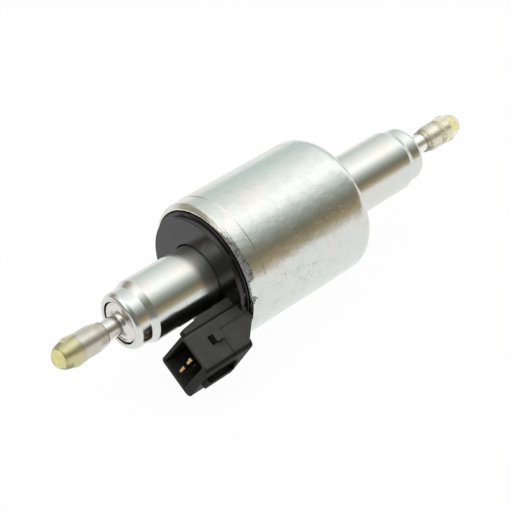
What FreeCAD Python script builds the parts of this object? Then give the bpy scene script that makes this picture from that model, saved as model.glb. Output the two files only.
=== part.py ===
import FreeCAD, Part
import math
import os

# Electromagnetic metering fuel pump, in millimetres.
# The pump's axis is X, with the outlet at -X, the inlet at +X and Z upwards as the pump lies on its side.
# The origin is on the axis, at the middle of the centre tube.
# A profile is a list of (x, radius) or (x, radius, corner rounding), turned about the axis.

# Centre tube, in two steel lengths with a non-magnetic ring between them
TUBE_RADIUS = 7.9
TUBE_WALL = 1.3
TUBE_LENGTH = 94.9
TIP_RADIUS = 7.05
TIP_LENGTH = 5.75
TIP_STEP = 1.7
STEP_ROUNDING = 1.6
LIP_ROUNDING = 1.2
LIP_CURL = 0.3
LIP_THICKNESS = 1.2
LIP_EDGE_ROUNDING = 0.35
RING_CENTRE = 0.0
RING_LENGTH = 6.0
SPIGOT_LENGTH = 1.5

# Steel can
CAN_RADIUS = 17.5
CAN_WALL = 1.2
CAN_LENGTH = 40.2
CAN_NEAR_END = -22.0
SHOULDER_ROUNDING = 4.0
CRIMP_LENGTH = 4.8
CRIMP_STEP = 0.16
CRIMP_TAPER = 0.4
CRIMP_ROUNDING = 1.0
CRIMP_HOOK = 1.0
LIP_REACH = 0.23
PLAIN_RIM_HALF_ANGLE = 38.0
PLAIN_RIM_TAPER = 0.15
NECK_HEIGHT = 4.0
NECK_WALL = 1.0
NECK_ROUNDING = 0.8

# End flange of the black moulding
FLANGE_STANDS_OUT = 1.8
FLANGE_RING_CLEARANCE = 0.32
FLANGE_RING_WIDTH = 0.75
FLANGE_RING_STANDS_OUT = 0.4
FLANGE_EDGE = 0.25
FLANGE_BASE = 3.0
FLANGE_MOUTH_FLARE = 0.4
FLANGE_MOUTH_DEPTH = 0.9

# Plug socket, in a frame with u outwards from the blades' middle plane and v across it, down and to the back
SOCKET_TILT = 31.3
SOCKET_MOUTH = -39.9
SOCKET_BACK = -26.2
SOCKET_INNER = -5.1
SOCKET_OUTER = 3.6
SOCKET_TOP = -6.8
SOCKET_BOTTOM = 7.85
SOCKET_TOP_BULGE = 1.6
SOCKET_FOOT_BULGE = 2.3
SOCKET_INNER_ROUNDING = 1.1
SOCKET_OUTER_ROUNDING = 1.5
SOCKET_THIN_WALL = 0.9
SOCKET_BOTTOM_WALL = 1.3
SOCKET_OUTER_WALL = 0.3
SOCKET_DEPTH = 10.6
CAVITY_ROUNDING = 0.6
RAIL_START = -38.9
RAIL_LENGTH = 7.9
RAIL_RAMP = 2.2
RAIL_OUTER = 6.85
RAIL_HEIGHT = 1.35
RAIL_TOP = -1.45
RAIL_BOTTOM = 1.0
RAIL_ROUNDING = 0.4
RAIL_WALL = 0.6
RAIL_LIP = 0.25
SLOT_DEPTH = 2.0
NECK_OUTER = 0.1
SOCKET_FRONT_OF_RIM = 0.2
WEB_INNER = -7.1
WEB_THICKNESS = 2.4
WEB_START = -32.0
WEB_TOP = -5.7
WEB_BOTTOM = 6.3
RIB_START = -38.4
RIB_INNER = -6.3
RIB_THICKNESS = 2.2
RIB_ROUNDING = 0.5
ROOT_START = -28.0
ROOT_INNER = -7.5
ROOT_INSET = 1.0
LATCH_NOSE_START = -34.0
LATCH_NOSE_LENGTH = 2.3
LATCH_NOSE_INNER = -1.85
LATCH_NOSE_WIDTH = 2.3
LATCH_NOSE_HEIGHT = 1.15
LATCH_NOSE_ROUNDING = 0.3
LATCH_WINDOW_LENGTH = 0.9
SEAM_WIDTH = 0.18
SEAM_DEPTH = 0.18

# Terminals, bent from brass strip
BLADE_WIDTH = 2.8
BLADE_THICKNESS = 0.8
BLADE_INSIDE_CAN = 1.5
BLADE_PITCH = 5.0
BLADE_V_CENTRE = 0.4
BLADE_TIP = -39.7
BLADE_TIP_CHAMFER = 0.3
TAIL_U = -4.0
TAIL_SINK = 0.7
BEND_X = -25.0
BEND_ROUNDING = 0.3

# Coil
YOKE_THICKNESS = 2.0
REAR_YOKE_THICKNESS = 3.0
BOBBIN_WALL = 1.2
BOBBIN_FLANGE = 1.2
BOBBIN_CLEARANCE = 0.9
WINDING_BELOW_RIM = 0.7
YOKE_SLOT_MARGIN = 0.4

# Hose nozzles
NOZZLE_BASE = 2.5
NOZZLE_BORE = 1.25
NOZZLE_NECK = 2.45
NOZZLE_BULB = 2.6
NOZZLE_TIP = 2.0
NOZZLE_END = 63.5
BULB_START = 53.6
BULB_RISE = 1.0
BULB_END = 58.9
HUB_RADIUS = 5.0
HUB_SETBACK = 0.7
HUB_RIM_WIDTH = 0.35
HUB_RIM_HEIGHT = 0.25
NECK_FILLET = 0.9

# Transport caps
CAP_LENGTH = 13.6
CAP_RIM = 2.8
CAP_BODY = 3.35
CAP_RISE = 2.3
CAP_BULGE = 3.68
CAP_BULGE_FROM_TIP = 4.6
CAP_WAIST_FROM_TIP = 7.6
CAP_DOME = 3.0
CAP_SMOOTHING = 4.0
CAP_END_WALL = 1.95
CAP_CONE = 2.6
OUTLET_CAP_GAP = 0.15
INLET_CAP_GAP = 1.95

# Plunger, its stops and its spring
STROKE = 1.8
ARMATURE_FRONT = 1.0
ARMATURE_LENGTH = 18.0
ARMATURE_REAR_POCKET = 5.0
ARMATURE_EDGE = 0.3
PISTON_RADIUS = 2.0
PISTON_CHAMFER = 0.2
SPRING_POCKET = 4.3
FRONT_POCKET_DEPTH = 4.0
POLE_POCKET_DEPTH = 5.0
POLE_LENGTH = 11.6
POLE_BORE = 2.6
WASHER_THICKNESS = 0.5
WASHER_BORE = 4.4
BUMPER_THICKNESS = 1.0
BUMPER_BORE = 4.0
PASSAGE_COUNT = 4
PASSAGE_WIDTH = 2.2
PASSAGE_DEPTH = 0.95
RETURN_WIRE = 0.35
RETURN_MEAN_RADIUS = 3.3
RETURN_TURNS = 5

# Metering cylinder and delivery valve
CYLINDER_HEAD = 2.0
CYLINDER_BODY = 5.0
CYLINDER_FOOT = 4.0
PORT_RADIUS = 0.5
PORT_AHEAD_OF_PISTON = 0.7
SEAT_THICKNESS = 2.0
SEAT_RADIUS = 4.0
SEAT_HOLE = 1.0
BALL_RADIUS = 1.5
VALVE_LIFT = 0.8
BALL_GUIDE = 1.9
VALVE_SPRING_BORE = 1.35
FUEL_SLOT_WIDTH = 0.7
CAGE_CHAMBER = 7.0
CAGE_OUTLET = 1.0
CAGE_FLOOR = 1.2
CAGE_SKIRT_BORE = 5.2
CAGE_SKIRT_DEPTH = 2.05
VALVE_WIRE = 0.15
VALVE_SPRING_RADIUS = 1.1
VALVE_SPRING_TURNS = 4

# Inlet side
SLEEVE_FLANGE = 2.0
SLEEVE_HOLE = 3.0
SLEEVE_WALL = 0.95
STRAINER_SETBACK = 4.1
STRAINER_RADIUS = 4.8
STRAINER_WALL = 0.4
STRAINER_RIM = 1.0
STRAINER_ROUNDING = 0.8

# Ring seals
SEAL_SECTION = 0.55
SEAL_GROOVE = 1.4
FLANGE_SEAL_SECTION = 0.6
FLANGE_SEAL_GROOVE = 1.5

# Clearances
FIT = 0.05
RUNNING_FIT = 0.08
PISTON_FIT = 0.03
PRESS_GAP = 0.02
STOP_GAP = 0.05
REST_GAP = 0.1
VALVE_GAP = 0.03
CAP_FIT = 0.06
SPRING_GAP = 0.05

# Cutters run past a face, and joined forms into each other, by this much
OVERRUN = 1.0

AXIS = FreeCAD.Vector(1, 0, 0)
ORIGIN = FreeCAD.Vector(0, 0, 0)
ACROSS = FreeCAD.Rotation(FreeCAD.Vector(1, 1, 1), 120)

# Places that several pieces share, from the sizes above
TUBE_BORE = TUBE_RADIUS - TUBE_WALL
TUBE_END = TUBE_LENGTH / 2
TIP_BORE = TIP_RADIUS - TUBE_WALL
STEP_START = TUBE_END - TIP_LENGTH
BASE_FRONT = STEP_START
BASE_BACK = BASE_FRONT - NOZZLE_BASE
LOOSE_FIT_RADIUS = TUBE_BORE - FIT
RING_NEAR = RING_CENTRE - RING_LENGTH / 2
RING_FAR = RING_CENTRE + RING_LENGTH / 2
SPIGOT_RADIUS = TUBE_RADIUS - TUBE_WALL / 2
CAN_BORE = CAN_RADIUS - CAN_WALL
LIP_OPENING = CAN_BORE - LIP_REACH
FLANGE_RING_RADIUS = LIP_OPENING - FLANGE_RING_CLEARANCE
FLANGE_FACE_RADIUS = FLANGE_RING_RADIUS - FLANGE_RING_WIDTH
BOBBIN_RADIUS = CAN_BORE - BOBBIN_CLEARANCE
WINDING_RADIUS = BOBBIN_RADIUS - WINDING_BELOW_RIM
BLADE_PLANE = CAN_RADIUS - BLADE_INSIDE_CAN
CAN_FAR_END = CAN_NEAR_END + CAN_LENGTH
CAN_FLOOR = CAN_FAR_END - CAN_WALL
HOOK_END = CAN_NEAR_END + CRIMP_HOOK
FLANGE_FACE = CAN_NEAR_END - FLANGE_STANDS_OUT
FLANGE_SHOULDER = HOOK_END + FIT
FLANGE_BACK = FLANGE_SHOULDER + FLANGE_BASE
FLANGE_BASE_RADIUS = CAN_BORE - 2 * FIT
TUBE_HOLE = TUBE_RADIUS + FIT
YOKE_BACK = FLANGE_BACK + YOKE_THICKNESS
REAR_YOKE_FRONT = CAN_FLOOR - REAR_YOKE_THICKNESS
ARMATURE_REAR = ARMATURE_FRONT + ARMATURE_LENGTH
WASHER_FACE = ARMATURE_FRONT - STROKE - STOP_GAP
POLE_FACE = WASHER_FACE - WASHER_THICKNESS
POLE_BACK = POLE_FACE - POLE_LENGTH
SKIRT_START = CAGE_SKIRT_DEPTH - BASE_BACK
CHAMBER_FLOOR = SKIRT_START + CAGE_FLOOR
SEAT_FACE = CHAMBER_FLOOR + CAGE_CHAMBER
CYLINDER_BACK = SEAT_FACE + SEAT_THICKNESS
PORT_X = (CYLINDER_BACK + CYLINDER_FOOT + POLE_BACK - CYLINDER_HEAD) / 2
PISTON_TIP = PORT_X + PORT_AHEAD_OF_PISTON
PISTON_END = ARMATURE_REAR - ARMATURE_REAR_POCKET
BALL_X = SEAT_FACE - math.sqrt((BALL_RADIUS + VALVE_GAP) ** 2 - SEAT_HOLE ** 2)
VALVE_STOP = BALL_X - VALVE_LIFT - math.sqrt((BALL_RADIUS + VALVE_GAP) ** 2 - VALVE_SPRING_BORE ** 2)
BUMPER_FRONT = ARMATURE_REAR + REST_GAP
BUMPER_BACK = BUMPER_FRONT + BUMPER_THICKNESS


def corner_arc(before, corner, after, rounding):
    """Give the start, middle and end of the arc that rounds a corner."""
    to_before = (before - corner).normalize()
    to_after = (after - corner).normalize()
    half_angle = to_before.getAngle(to_after) / 2
    reach = rounding / math.tan(half_angle)
    bisector = (to_before + to_after).normalize()
    centre = corner + bisector * (rounding / math.sin(half_angle))
    return corner + to_before * reach, centre - bisector * rounding, corner + to_after * reach


def outline(corners):
    """Make a flat face in the XY plane from corners of (x, y) or (x, y, rounding)."""
    places = [FreeCAD.Vector(corner[0], corner[1], 0) for corner in corners]
    stretches = []
    for index, corner in enumerate(corners):
        if len(corner) > 2 and corner[2] > 0:
            after = places[(index + 1) % len(places)]
            stretches.append(corner_arc(places[index - 1], places[index], after, corner[2]))
        else:
            stretches.append((places[index],))
    edges = []
    for index, stretch in enumerate(stretches):
        previous_end = stretches[index - 1][-1]
        if (stretch[0] - previous_end).Length > 1e-6:
            edges.append(Part.makeLine(previous_end, stretch[0]))
        if len(stretch) == 3:
            edges.append(Part.Arc(*stretch).toShape())
    return Part.Face(Part.Wire(edges))


def outward(solid):
    """Return the solid with its faces pointing outwards."""
    return solid.reversed() if solid.Volume < 0 else solid


def turned(profile, side=1, start_angle=0, sweep=360):
    """Turn a profile about the axis; side -1 mirrors it to the outlet end."""
    face = outline([(side * corner[0],) + tuple(corner[1:]) for corner in profile])
    face.rotate(ORIGIN, AXIS, start_angle)
    return outward(face.revolve(ORIGIN, AXIS, sweep))


def ring(start, end, inner, outer):
    """Make a plain ring or, with no inner radius, a disc between two places on the axis."""
    solid = Part.makeCylinder(outer, end - start, FreeCAD.Vector(start, 0, 0), AXIS)
    if inner > 0:
        solid = solid.cut(Part.makeCylinder(inner, end - start, FreeCAD.Vector(start, 0, 0), AXIS))
    return solid


def round_ring(centre, mean_radius, section):
    """Make a ring seal of round section."""
    return Part.makeTorus(mean_radius, section, FreeCAD.Vector(centre, 0, 0), AXIS)


def block(x_range, u_range, v_range):
    """Make a box from its ranges along the axis, outwards and across."""
    size = [high - low for low, high in (x_range, u_range, v_range)]
    return Part.makeBox(*size, FreeCAD.Vector(x_range[0], u_range[0], v_range[0]))


def bar(corners, start, end):
    """Extrude an outline of (u, v, rounding) corners along the axis, in the socket's frame."""
    face = outline(corners)
    face.Placement = FreeCAD.Placement(FreeCAD.Vector(start, 0, 0), ACROSS)
    return outward(face.extrude(FreeCAD.Vector(end - start, 0, 0)))


def plate(corners, low, high):
    """Extrude an outline of (x, u, rounding) corners across the socket, from v low to high."""
    face = outline(corners)
    face.translate(FreeCAD.Vector(0, 0, low))
    return outward(face.extrude(FreeCAD.Vector(0, 0, high - low)))


def tilted(shape):
    """Move a shape from the socket's frame to its place on the pump."""
    shape.translate(FreeCAD.Vector(0, BLADE_PLANE, 0))
    shape.rotate(ORIGIN, AXIS, 180 + SOCKET_TILT)
    return shape


def passages(start, end, outer):
    """Make the cutters of the fuel grooves along the outside of a round piece."""
    cutters = []
    half_width = PASSAGE_WIDTH / 2
    for index in range(PASSAGE_COUNT):
        cutter = block((start, end), (outer - PASSAGE_DEPTH, outer + OVERRUN), (-half_width, half_width))
        cutter.rotate(ORIGIN, AXIS, index * 360 / PASSAGE_COUNT)
        cutters.append(cutter)
    return Part.makeCompound(cutters)


def arc_from(start, direction, end):
    """Make the arc that leaves start along a direction and reaches end."""
    chord = end - start
    along = FreeCAD.Vector(chord).normalize()
    quarter_sweep = direction.getAngle(along) / 2
    outwards = (direction - along * direction.dot(along)).normalize()
    middle = start + chord / 2 + outwards * (chord.Length / 2 * math.tan(quarter_sweep))
    return Part.Arc(start, middle, end).toShape()


def spring(start, end, mean_radius, wire, turns):
    """Wind a compression spring of round wire: each half turn of its helix is a pair of tangent arcs."""
    rise = (end - start) / (2 * math.pi * turns)

    def place(angle):
        radial = FreeCAD.Vector(0, math.cos(angle), math.sin(angle)) * mean_radius
        return radial + FreeCAD.Vector(start + rise * angle, 0, 0)

    def direction(angle):
        around = FreeCAD.Vector(0, -math.sin(angle), math.cos(angle)) * mean_radius
        return (around + FreeCAD.Vector(rise, 0, 0)).normalize()

    edges = []
    for half_turn in range(2 * turns):
        first, last = half_turn * math.pi, (half_turn + 1) * math.pi
        leave, arrive = direction(first), direction(last)
        chord = place(last) - place(first)
        spread = 1 - leave.dot(arrive)
        pull = chord.dot(leave + arrive)
        reach = (-pull + math.sqrt(pull ** 2 + 2 * spread * chord.dot(chord))) / (2 * spread)
        meeting = (place(first) + place(last) + (leave - arrive) * reach) / 2
        middle_direction = (meeting - place(first) - leave * reach).normalize()
        edges.append(arc_from(place(first), leave, meeting))
        edges.append(arc_from(meeting, middle_direction, place(last)))
    section = Part.Wire(Part.makeCircle(wire, place(0), direction(0)))
    return outward(Part.Wire(edges).makePipeShell([section], True, False))


def outer_can():
    """Draw the can: crimped rim, plain rim beside the socket, rounded shoulder and neck round the tube."""
    crimp_start = CAN_NEAR_END + CRIMP_LENGTH
    neck_bore = TUBE_RADIUS + 4 * FIT
    neck_radius = neck_bore + NECK_WALL
    neck_end = CAN_FAR_END + NECK_HEIGHT
    body = turned([
        (crimp_start, CAN_RADIUS),
        (CAN_FAR_END, CAN_RADIUS, SHOULDER_ROUNDING),
        (CAN_FAR_END, neck_radius, NECK_ROUNDING),
        (neck_end, neck_radius, NECK_WALL / 3),
        (neck_end, neck_bore),
        (CAN_FLOOR, neck_bore, NECK_ROUNDING),
        (CAN_FLOOR, CAN_BORE, SHOULDER_ROUNDING - CAN_WALL),
        (crimp_start, CAN_BORE)])
    crimped_radius = CAN_RADIUS - CRIMP_STEP
    crimp_profile = [
        (crimp_start, CAN_RADIUS),
        (crimp_start - CRIMP_STEP, crimped_radius),
        (CAN_NEAR_END + CRIMP_ROUNDING, crimped_radius - CRIMP_TAPER / 2, CRIMP_ROUNDING / 2),
        (CAN_NEAR_END, crimped_radius - CRIMP_TAPER - CRIMP_ROUNDING / 3, CRIMP_ROUNDING / 4),
        (CAN_NEAR_END, LIP_OPENING),
        (HOOK_END, LIP_OPENING),
        (HOOK_END, CAN_BORE),
        (crimp_start, CAN_BORE)]
    plain_radius = CAN_RADIUS - CRIMP_STEP / 2
    plain_profile = [
        (crimp_start, CAN_RADIUS),
        (crimp_start - CRIMP_STEP, plain_radius),
        (CAN_NEAR_END, plain_radius - PLAIN_RIM_TAPER, CRIMP_STEP),
        (CAN_NEAR_END, CAN_BORE),
        (crimp_start, CAN_BORE)]
    socket_angle = 180 + SOCKET_TILT
    crimp = turned(crimp_profile, 1, socket_angle + PLAIN_RIM_HALF_ANGLE, 360 - 2 * PLAIN_RIM_HALF_ANGLE)
    plain = turned(plain_profile, 1, socket_angle - PLAIN_RIM_HALF_ANGLE, 2 * PLAIN_RIM_HALF_ANGLE)
    return body.fuse([crimp, plain]).removeSplitter()


def tube_half(side, joint_face):
    """Draw one steel length of the centre tube, from its joint at the ring to its rolled lip."""
    lip_bore = TIP_BORE - LIP_CURL
    return turned([
        (joint_face, TUBE_RADIUS),
        (STEP_START, TUBE_RADIUS, STEP_ROUNDING),
        (STEP_START + TIP_STEP, TIP_RADIUS, STEP_ROUNDING),
        (TUBE_END, TIP_RADIUS, LIP_ROUNDING),
        (TUBE_END, lip_bore, LIP_EDGE_ROUNDING),
        (TUBE_END - LIP_THICKNESS, lip_bore),
        (TUBE_END - LIP_THICKNESS - LIP_CURL, TIP_BORE),
        (STEP_START + TIP_STEP, TIP_BORE, STEP_ROUNDING),
        (STEP_START, TUBE_BORE, STEP_ROUNDING),
        (joint_face + SPIGOT_LENGTH, TUBE_BORE),
        (joint_face + SPIGOT_LENGTH, SPIGOT_RADIUS + PRESS_GAP),
        (joint_face, SPIGOT_RADIUS + PRESS_GAP)], side)


def spacer_ring():
    """Turn the non-magnetic ring whose two spigots join the steel lengths."""
    return turned([
        (RING_NEAR - SPIGOT_LENGTH, TUBE_BORE),
        (RING_NEAR - SPIGOT_LENGTH, SPIGOT_RADIUS),
        (RING_NEAR, SPIGOT_RADIUS),
        (RING_NEAR, TUBE_RADIUS),
        (RING_FAR, TUBE_RADIUS),
        (RING_FAR, SPIGOT_RADIUS),
        (RING_FAR + SPIGOT_LENGTH, SPIGOT_RADIUS),
        (RING_FAR + SPIGOT_LENGTH, TUBE_BORE)])


def nozzle(side):
    """Turn a hose nozzle: grooved base disc, rimmed hub, neck, bulb and conical end, with its bore."""
    groove_centre = (BASE_BACK + BASE_FRONT) / 2
    groove_bottom = LOOSE_FIT_RADIUS - 2 * SEAL_SECTION
    hub_face = TUBE_END - HUB_SETBACK
    return turned([
        (BASE_BACK, NOZZLE_BORE),
        (BASE_BACK, LOOSE_FIT_RADIUS),
        (groove_centre - SEAL_GROOVE / 2, LOOSE_FIT_RADIUS),
        (groove_centre - SEAL_GROOVE / 2, groove_bottom),
        (groove_centre + SEAL_GROOVE / 2, groove_bottom),
        (groove_centre + SEAL_GROOVE / 2, LOOSE_FIT_RADIUS),
        (BASE_FRONT - STEP_ROUNDING / 4, LOOSE_FIT_RADIUS),
        (BASE_FRONT, HUB_RADIUS),
        (hub_face + HUB_RIM_HEIGHT, HUB_RADIUS, HUB_RIM_WIDTH / 3),
        (hub_face + HUB_RIM_HEIGHT, HUB_RADIUS - HUB_RIM_WIDTH, HUB_RIM_WIDTH / 3),
        (hub_face, HUB_RADIUS - HUB_RIM_WIDTH - HUB_RIM_HEIGHT),
        (hub_face, NOZZLE_NECK, NECK_FILLET),
        (BULB_START, NOZZLE_NECK, BULB_RISE),
        (BULB_START + BULB_RISE, NOZZLE_BULB, BULB_RISE),
        (BULB_END, NOZZLE_BULB, BULB_RISE),
        (NOZZLE_END, NOZZLE_TIP, (NOZZLE_TIP - NOZZLE_BORE) / 2),
        (NOZZLE_END, NOZZLE_BORE)], side)


def nozzle_seal(side):
    """Place the ring seal in the groove of a nozzle's base disc."""
    return round_ring(side * (BASE_BACK + BASE_FRONT) / 2, LOOSE_FIT_RADIUS - SEAL_SECTION, SEAL_SECTION)


def cap(side, end_gap):
    """Mould a transport cap: thin rim, tapered sleeve, bulge, domed end and a bore that passes the bulb."""
    bore = NOZZLE_BULB + CAP_FIT
    bore_end = NOZZLE_END + end_gap
    tip = bore_end + CAP_END_WALL
    rim = tip - CAP_LENGTH
    bulge_x = tip - CAP_BULGE_FROM_TIP
    to_bulge = FreeCAD.Vector(bulge_x - tip + CAP_DOME, CAP_BULGE, 0)
    dome_angle = to_bulge.getAngle(AXIS) - math.acos(CAP_DOME / to_bulge.Length)
    return turned([
        (rim, bore),
        (rim, CAP_RIM),
        (rim + CAP_RISE, CAP_BODY, CAP_SMOOTHING),
        (tip - CAP_WAIST_FROM_TIP, CAP_BODY, CAP_SMOOTHING),
        (bulge_x, CAP_BULGE, CAP_SMOOTHING / 2),
        (tip, CAP_DOME * math.tan(dome_angle / 2), CAP_DOME),
        (tip, 0),
        (bore_end, 0),
        (bore_end, NOZZLE_TIP + CAP_FIT),
        (bore_end - CAP_CONE, bore)], side)


def socket_corners(stands_out=0.0):
    """Give the outline of the socket: three flat walls, and an outer side that slopes out to its foot."""
    return [
        (SOCKET_INNER, SOCKET_TOP, SOCKET_INNER_ROUNDING),
        (SOCKET_OUTER + SOCKET_TOP_BULGE + stands_out, SOCKET_TOP, SOCKET_OUTER_ROUNDING),
        (SOCKET_OUTER + SOCKET_FOOT_BULGE + stands_out, SOCKET_BOTTOM, SOCKET_OUTER_ROUNDING),
        (SOCKET_INNER, SOCKET_BOTTOM, SOCKET_INNER_ROUNDING)]


def latch_nose(low, high):
    """Make one latch nose, a low block with rounded edges, between two places across the socket."""
    end = LATCH_NOSE_START + LATCH_NOSE_LENGTH
    outer = LATCH_NOSE_INNER + LATCH_NOSE_WIDTH
    return plate([
        (LATCH_NOSE_START, LATCH_NOSE_INNER, LATCH_NOSE_ROUNDING),
        (end, LATCH_NOSE_INNER, LATCH_NOSE_ROUNDING),
        (end, outer, LATCH_NOSE_ROUNDING),
        (LATCH_NOSE_START, outer, LATCH_NOSE_ROUNDING)], low, high)


def socket_seams():
    """Make the cutters of the fine mould seams on the top and outer sides."""
    nose_end = LATCH_NOSE_START + LATCH_NOSE_LENGTH
    along = block(
        (nose_end, CAN_NEAR_END),
        (LATCH_NOSE_INNER - SEAM_WIDTH / 2, LATCH_NOSE_INNER + SEAM_WIDTH / 2),
        (SOCKET_TOP - SEAM_DEPTH, SOCKET_TOP + SEAM_DEPTH))
    hoop_end = nose_end + SEAM_WIDTH
    sunk_corners = [(u - SEAM_DEPTH, v + SEAM_DEPTH, rounding) for u, v, rounding in socket_corners()]
    hoop = bar(socket_corners(SEAM_DEPTH), nose_end, hoop_end).cut(bar(sunk_corners, nose_end, hoop_end))
    side = block(
        (nose_end, hoop_end),
        (LATCH_NOSE_INNER + LATCH_NOSE_WIDTH, RAIL_OUTER + OVERRUN),
        (SOCKET_TOP - SEAM_DEPTH, RAIL_TOP))
    return [along, hoop.common(side)]


def keying_rail():
    """Make the keying rail on the socket's outer side, with a ramp at its back."""
    rail_end = RAIL_START + RAIL_LENGTH
    return plate([
        (RAIL_START, SOCKET_OUTER),
        (RAIL_START, RAIL_OUTER, RAIL_ROUNDING),
        (rail_end, RAIL_OUTER, RAIL_ROUNDING),
        (rail_end + RAIL_RAMP, RAIL_OUTER - RAIL_HEIGHT),
        (rail_end + RAIL_RAMP, SOCKET_OUTER)], RAIL_TOP, RAIL_BOTTOM)


def rail_slot():
    """Make the cutter of the slot in the rail's top side."""
    start = RAIL_START + RAIL_WALL
    end = RAIL_START + RAIL_LENGTH - RAIL_LIP
    return plate([
        (start, RAIL_OUTER - RAIL_HEIGHT),
        (start, RAIL_OUTER - RAIL_LIP),
        (end, RAIL_OUTER - RAIL_LIP),
        (end + RAIL_RAMP - RAIL_WALL, RAIL_OUTER - RAIL_HEIGHT)], RAIL_TOP - OVERRUN, RAIL_TOP + SLOT_DEPTH)


def connector_moulding(terminals):
    """Mould the end flange and the plug socket in one piece, closed round the terminals."""
    groove_centre = (FLANGE_SHOULDER + FLANGE_BACK) / 2
    groove_bottom = FLANGE_BASE_RADIUS - 2 * FLANGE_SEAL_SECTION
    flange = turned([
        (FLANGE_FACE, TUBE_HOLE + FLANGE_MOUTH_FLARE),
        (FLANGE_FACE, FLANGE_FACE_RADIUS, FLANGE_EDGE),
        (CAN_NEAR_END - FLANGE_RING_STANDS_OUT, FLANGE_FACE_RADIUS),
        (CAN_NEAR_END - FLANGE_RING_STANDS_OUT, FLANGE_RING_RADIUS, FLANGE_EDGE),
        (FLANGE_SHOULDER, FLANGE_RING_RADIUS),
        (FLANGE_SHOULDER, FLANGE_BASE_RADIUS),
        (groove_centre - FLANGE_SEAL_GROOVE / 2, FLANGE_BASE_RADIUS),
        (groove_centre - FLANGE_SEAL_GROOVE / 2, groove_bottom),
        (groove_centre + FLANGE_SEAL_GROOVE / 2, groove_bottom),
        (groove_centre + FLANGE_SEAL_GROOVE / 2, FLANGE_BASE_RADIUS),
        (FLANGE_BACK, FLANGE_BASE_RADIUS),
        (FLANGE_BACK, TUBE_HOLE),
        (FLANGE_FACE + FLANGE_MOUTH_DEPTH, TUBE_HOLE)])
    neck_end = CAN_NEAR_END - SOCKET_FRONT_OF_RIM
    chamfer_end = SOCKET_BACK + (SOCKET_OUTER - NECK_OUTER)
    shell = bar(socket_corners(), SOCKET_MOUTH, SOCKET_BACK)
    neck = plate([
        (SOCKET_BACK - OVERRUN, SOCKET_INNER),
        (SOCKET_BACK - OVERRUN, SOCKET_OUTER),
        (SOCKET_BACK, SOCKET_OUTER),
        (chamfer_end, NECK_OUTER),
        (neck_end, NECK_OUTER),
        (neck_end, SOCKET_INNER)], SOCKET_TOP, SOCKET_BOTTOM)
    neck = neck.common(bar(socket_corners(), SOCKET_BACK - OVERRUN, neck_end))
    web = block((WEB_START, FLANGE_SHOULDER), (WEB_INNER, WEB_INNER + WEB_THICKNESS), (WEB_TOP, WEB_BOTTOM))
    rib = plate([
        (RIB_START, SOCKET_INNER + OVERRUN),
        (RIB_START, RIB_INNER, RIB_ROUNDING),
        (WEB_START, WEB_INNER),
        (FLANGE_SHOULDER, WEB_INNER),
        (FLANGE_SHOULDER, SOCKET_INNER + OVERRUN)], WEB_TOP, WEB_TOP + RIB_THICKNESS)
    root = block(
        (ROOT_START, FLANGE_SHOULDER),
        (ROOT_INNER, SOCKET_INNER + OVERRUN),
        (WEB_TOP + ROOT_INSET, WEB_BOTTOM - ROOT_INSET))
    noses = [
        latch_nose(SOCKET_TOP - LATCH_NOSE_HEIGHT, SOCKET_TOP + SOCKET_THIN_WALL / 2),
        latch_nose(SOCKET_BOTTOM - SOCKET_BOTTOM_WALL / 2, SOCKET_BOTTOM + LATCH_NOSE_HEIGHT)]
    cavity = bar([
        (SOCKET_INNER + SOCKET_THIN_WALL, SOCKET_TOP + SOCKET_THIN_WALL, CAVITY_ROUNDING),
        (SOCKET_OUTER - SOCKET_OUTER_WALL, SOCKET_TOP + SOCKET_THIN_WALL, CAVITY_ROUNDING),
        (SOCKET_OUTER - SOCKET_OUTER_WALL, SOCKET_BOTTOM - SOCKET_BOTTOM_WALL, CAVITY_ROUNDING),
        (SOCKET_INNER + SOCKET_THIN_WALL, SOCKET_BOTTOM - SOCKET_BOTTOM_WALL, CAVITY_ROUNDING)],
        SOCKET_MOUTH, SOCKET_MOUTH + SOCKET_DEPTH)
    window = block(
        (LATCH_NOSE_START - LATCH_WINDOW_LENGTH, LATCH_NOSE_START),
        (LATCH_NOSE_INNER, LATCH_NOSE_INNER + LATCH_NOSE_WIDTH),
        (SOCKET_TOP - OVERRUN, SOCKET_BOTTOM + OVERRUN))
    socket = shell.fuse([keying_rail(), neck, web, rib, root] + noses)
    socket = tilted(socket.cut([cavity, rail_slot(), window] + socket_seams()))
    tube_way = ring(SOCKET_MOUTH, FLANGE_BACK, 0, TUBE_HOLE)
    moulding = flange.fuse(socket.cut(tube_way)).removeSplitter()
    return moulding.cut(terminals)


def terminal(v_centre):
    """Bend one terminal from strip: blade in the socket, step inwards in the moulding, tail to the coil."""
    half = BLADE_THICKNESS / 2
    bend_back = BEND_X + BLADE_THICKNESS
    tail_end = YOKE_BACK + TAIL_SINK
    strip = plate([
        (BLADE_TIP, -half, BLADE_TIP_CHAMFER),
        (BEND_X, -half, BEND_ROUNDING),
        (BEND_X, TAIL_U - half, BEND_ROUNDING),
        (tail_end, TAIL_U - half),
        (tail_end, TAIL_U + half),
        (bend_back, TAIL_U + half, BEND_ROUNDING),
        (bend_back, half, BEND_ROUNDING),
        (BLADE_TIP, half, BLADE_TIP_CHAMFER)],
        v_centre - BLADE_WIDTH / 2, v_centre + BLADE_WIDTH / 2)
    return tilted(strip)


def tail_slots(start, end, margin):
    """Make the cutters that let the terminals' tails through a washer or into the bobbin."""
    half = BLADE_THICKNESS / 2 + margin
    cutters = []
    for side in (-1, 1):
        v_centre = BLADE_V_CENTRE + side * BLADE_PITCH / 2
        v_range = (v_centre - BLADE_WIDTH / 2 - margin, v_centre + BLADE_WIDTH / 2 + margin)
        cutters.append(tilted(block((start, end), (TAIL_U - half, TAIL_U + half), v_range)))
    return cutters


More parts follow.
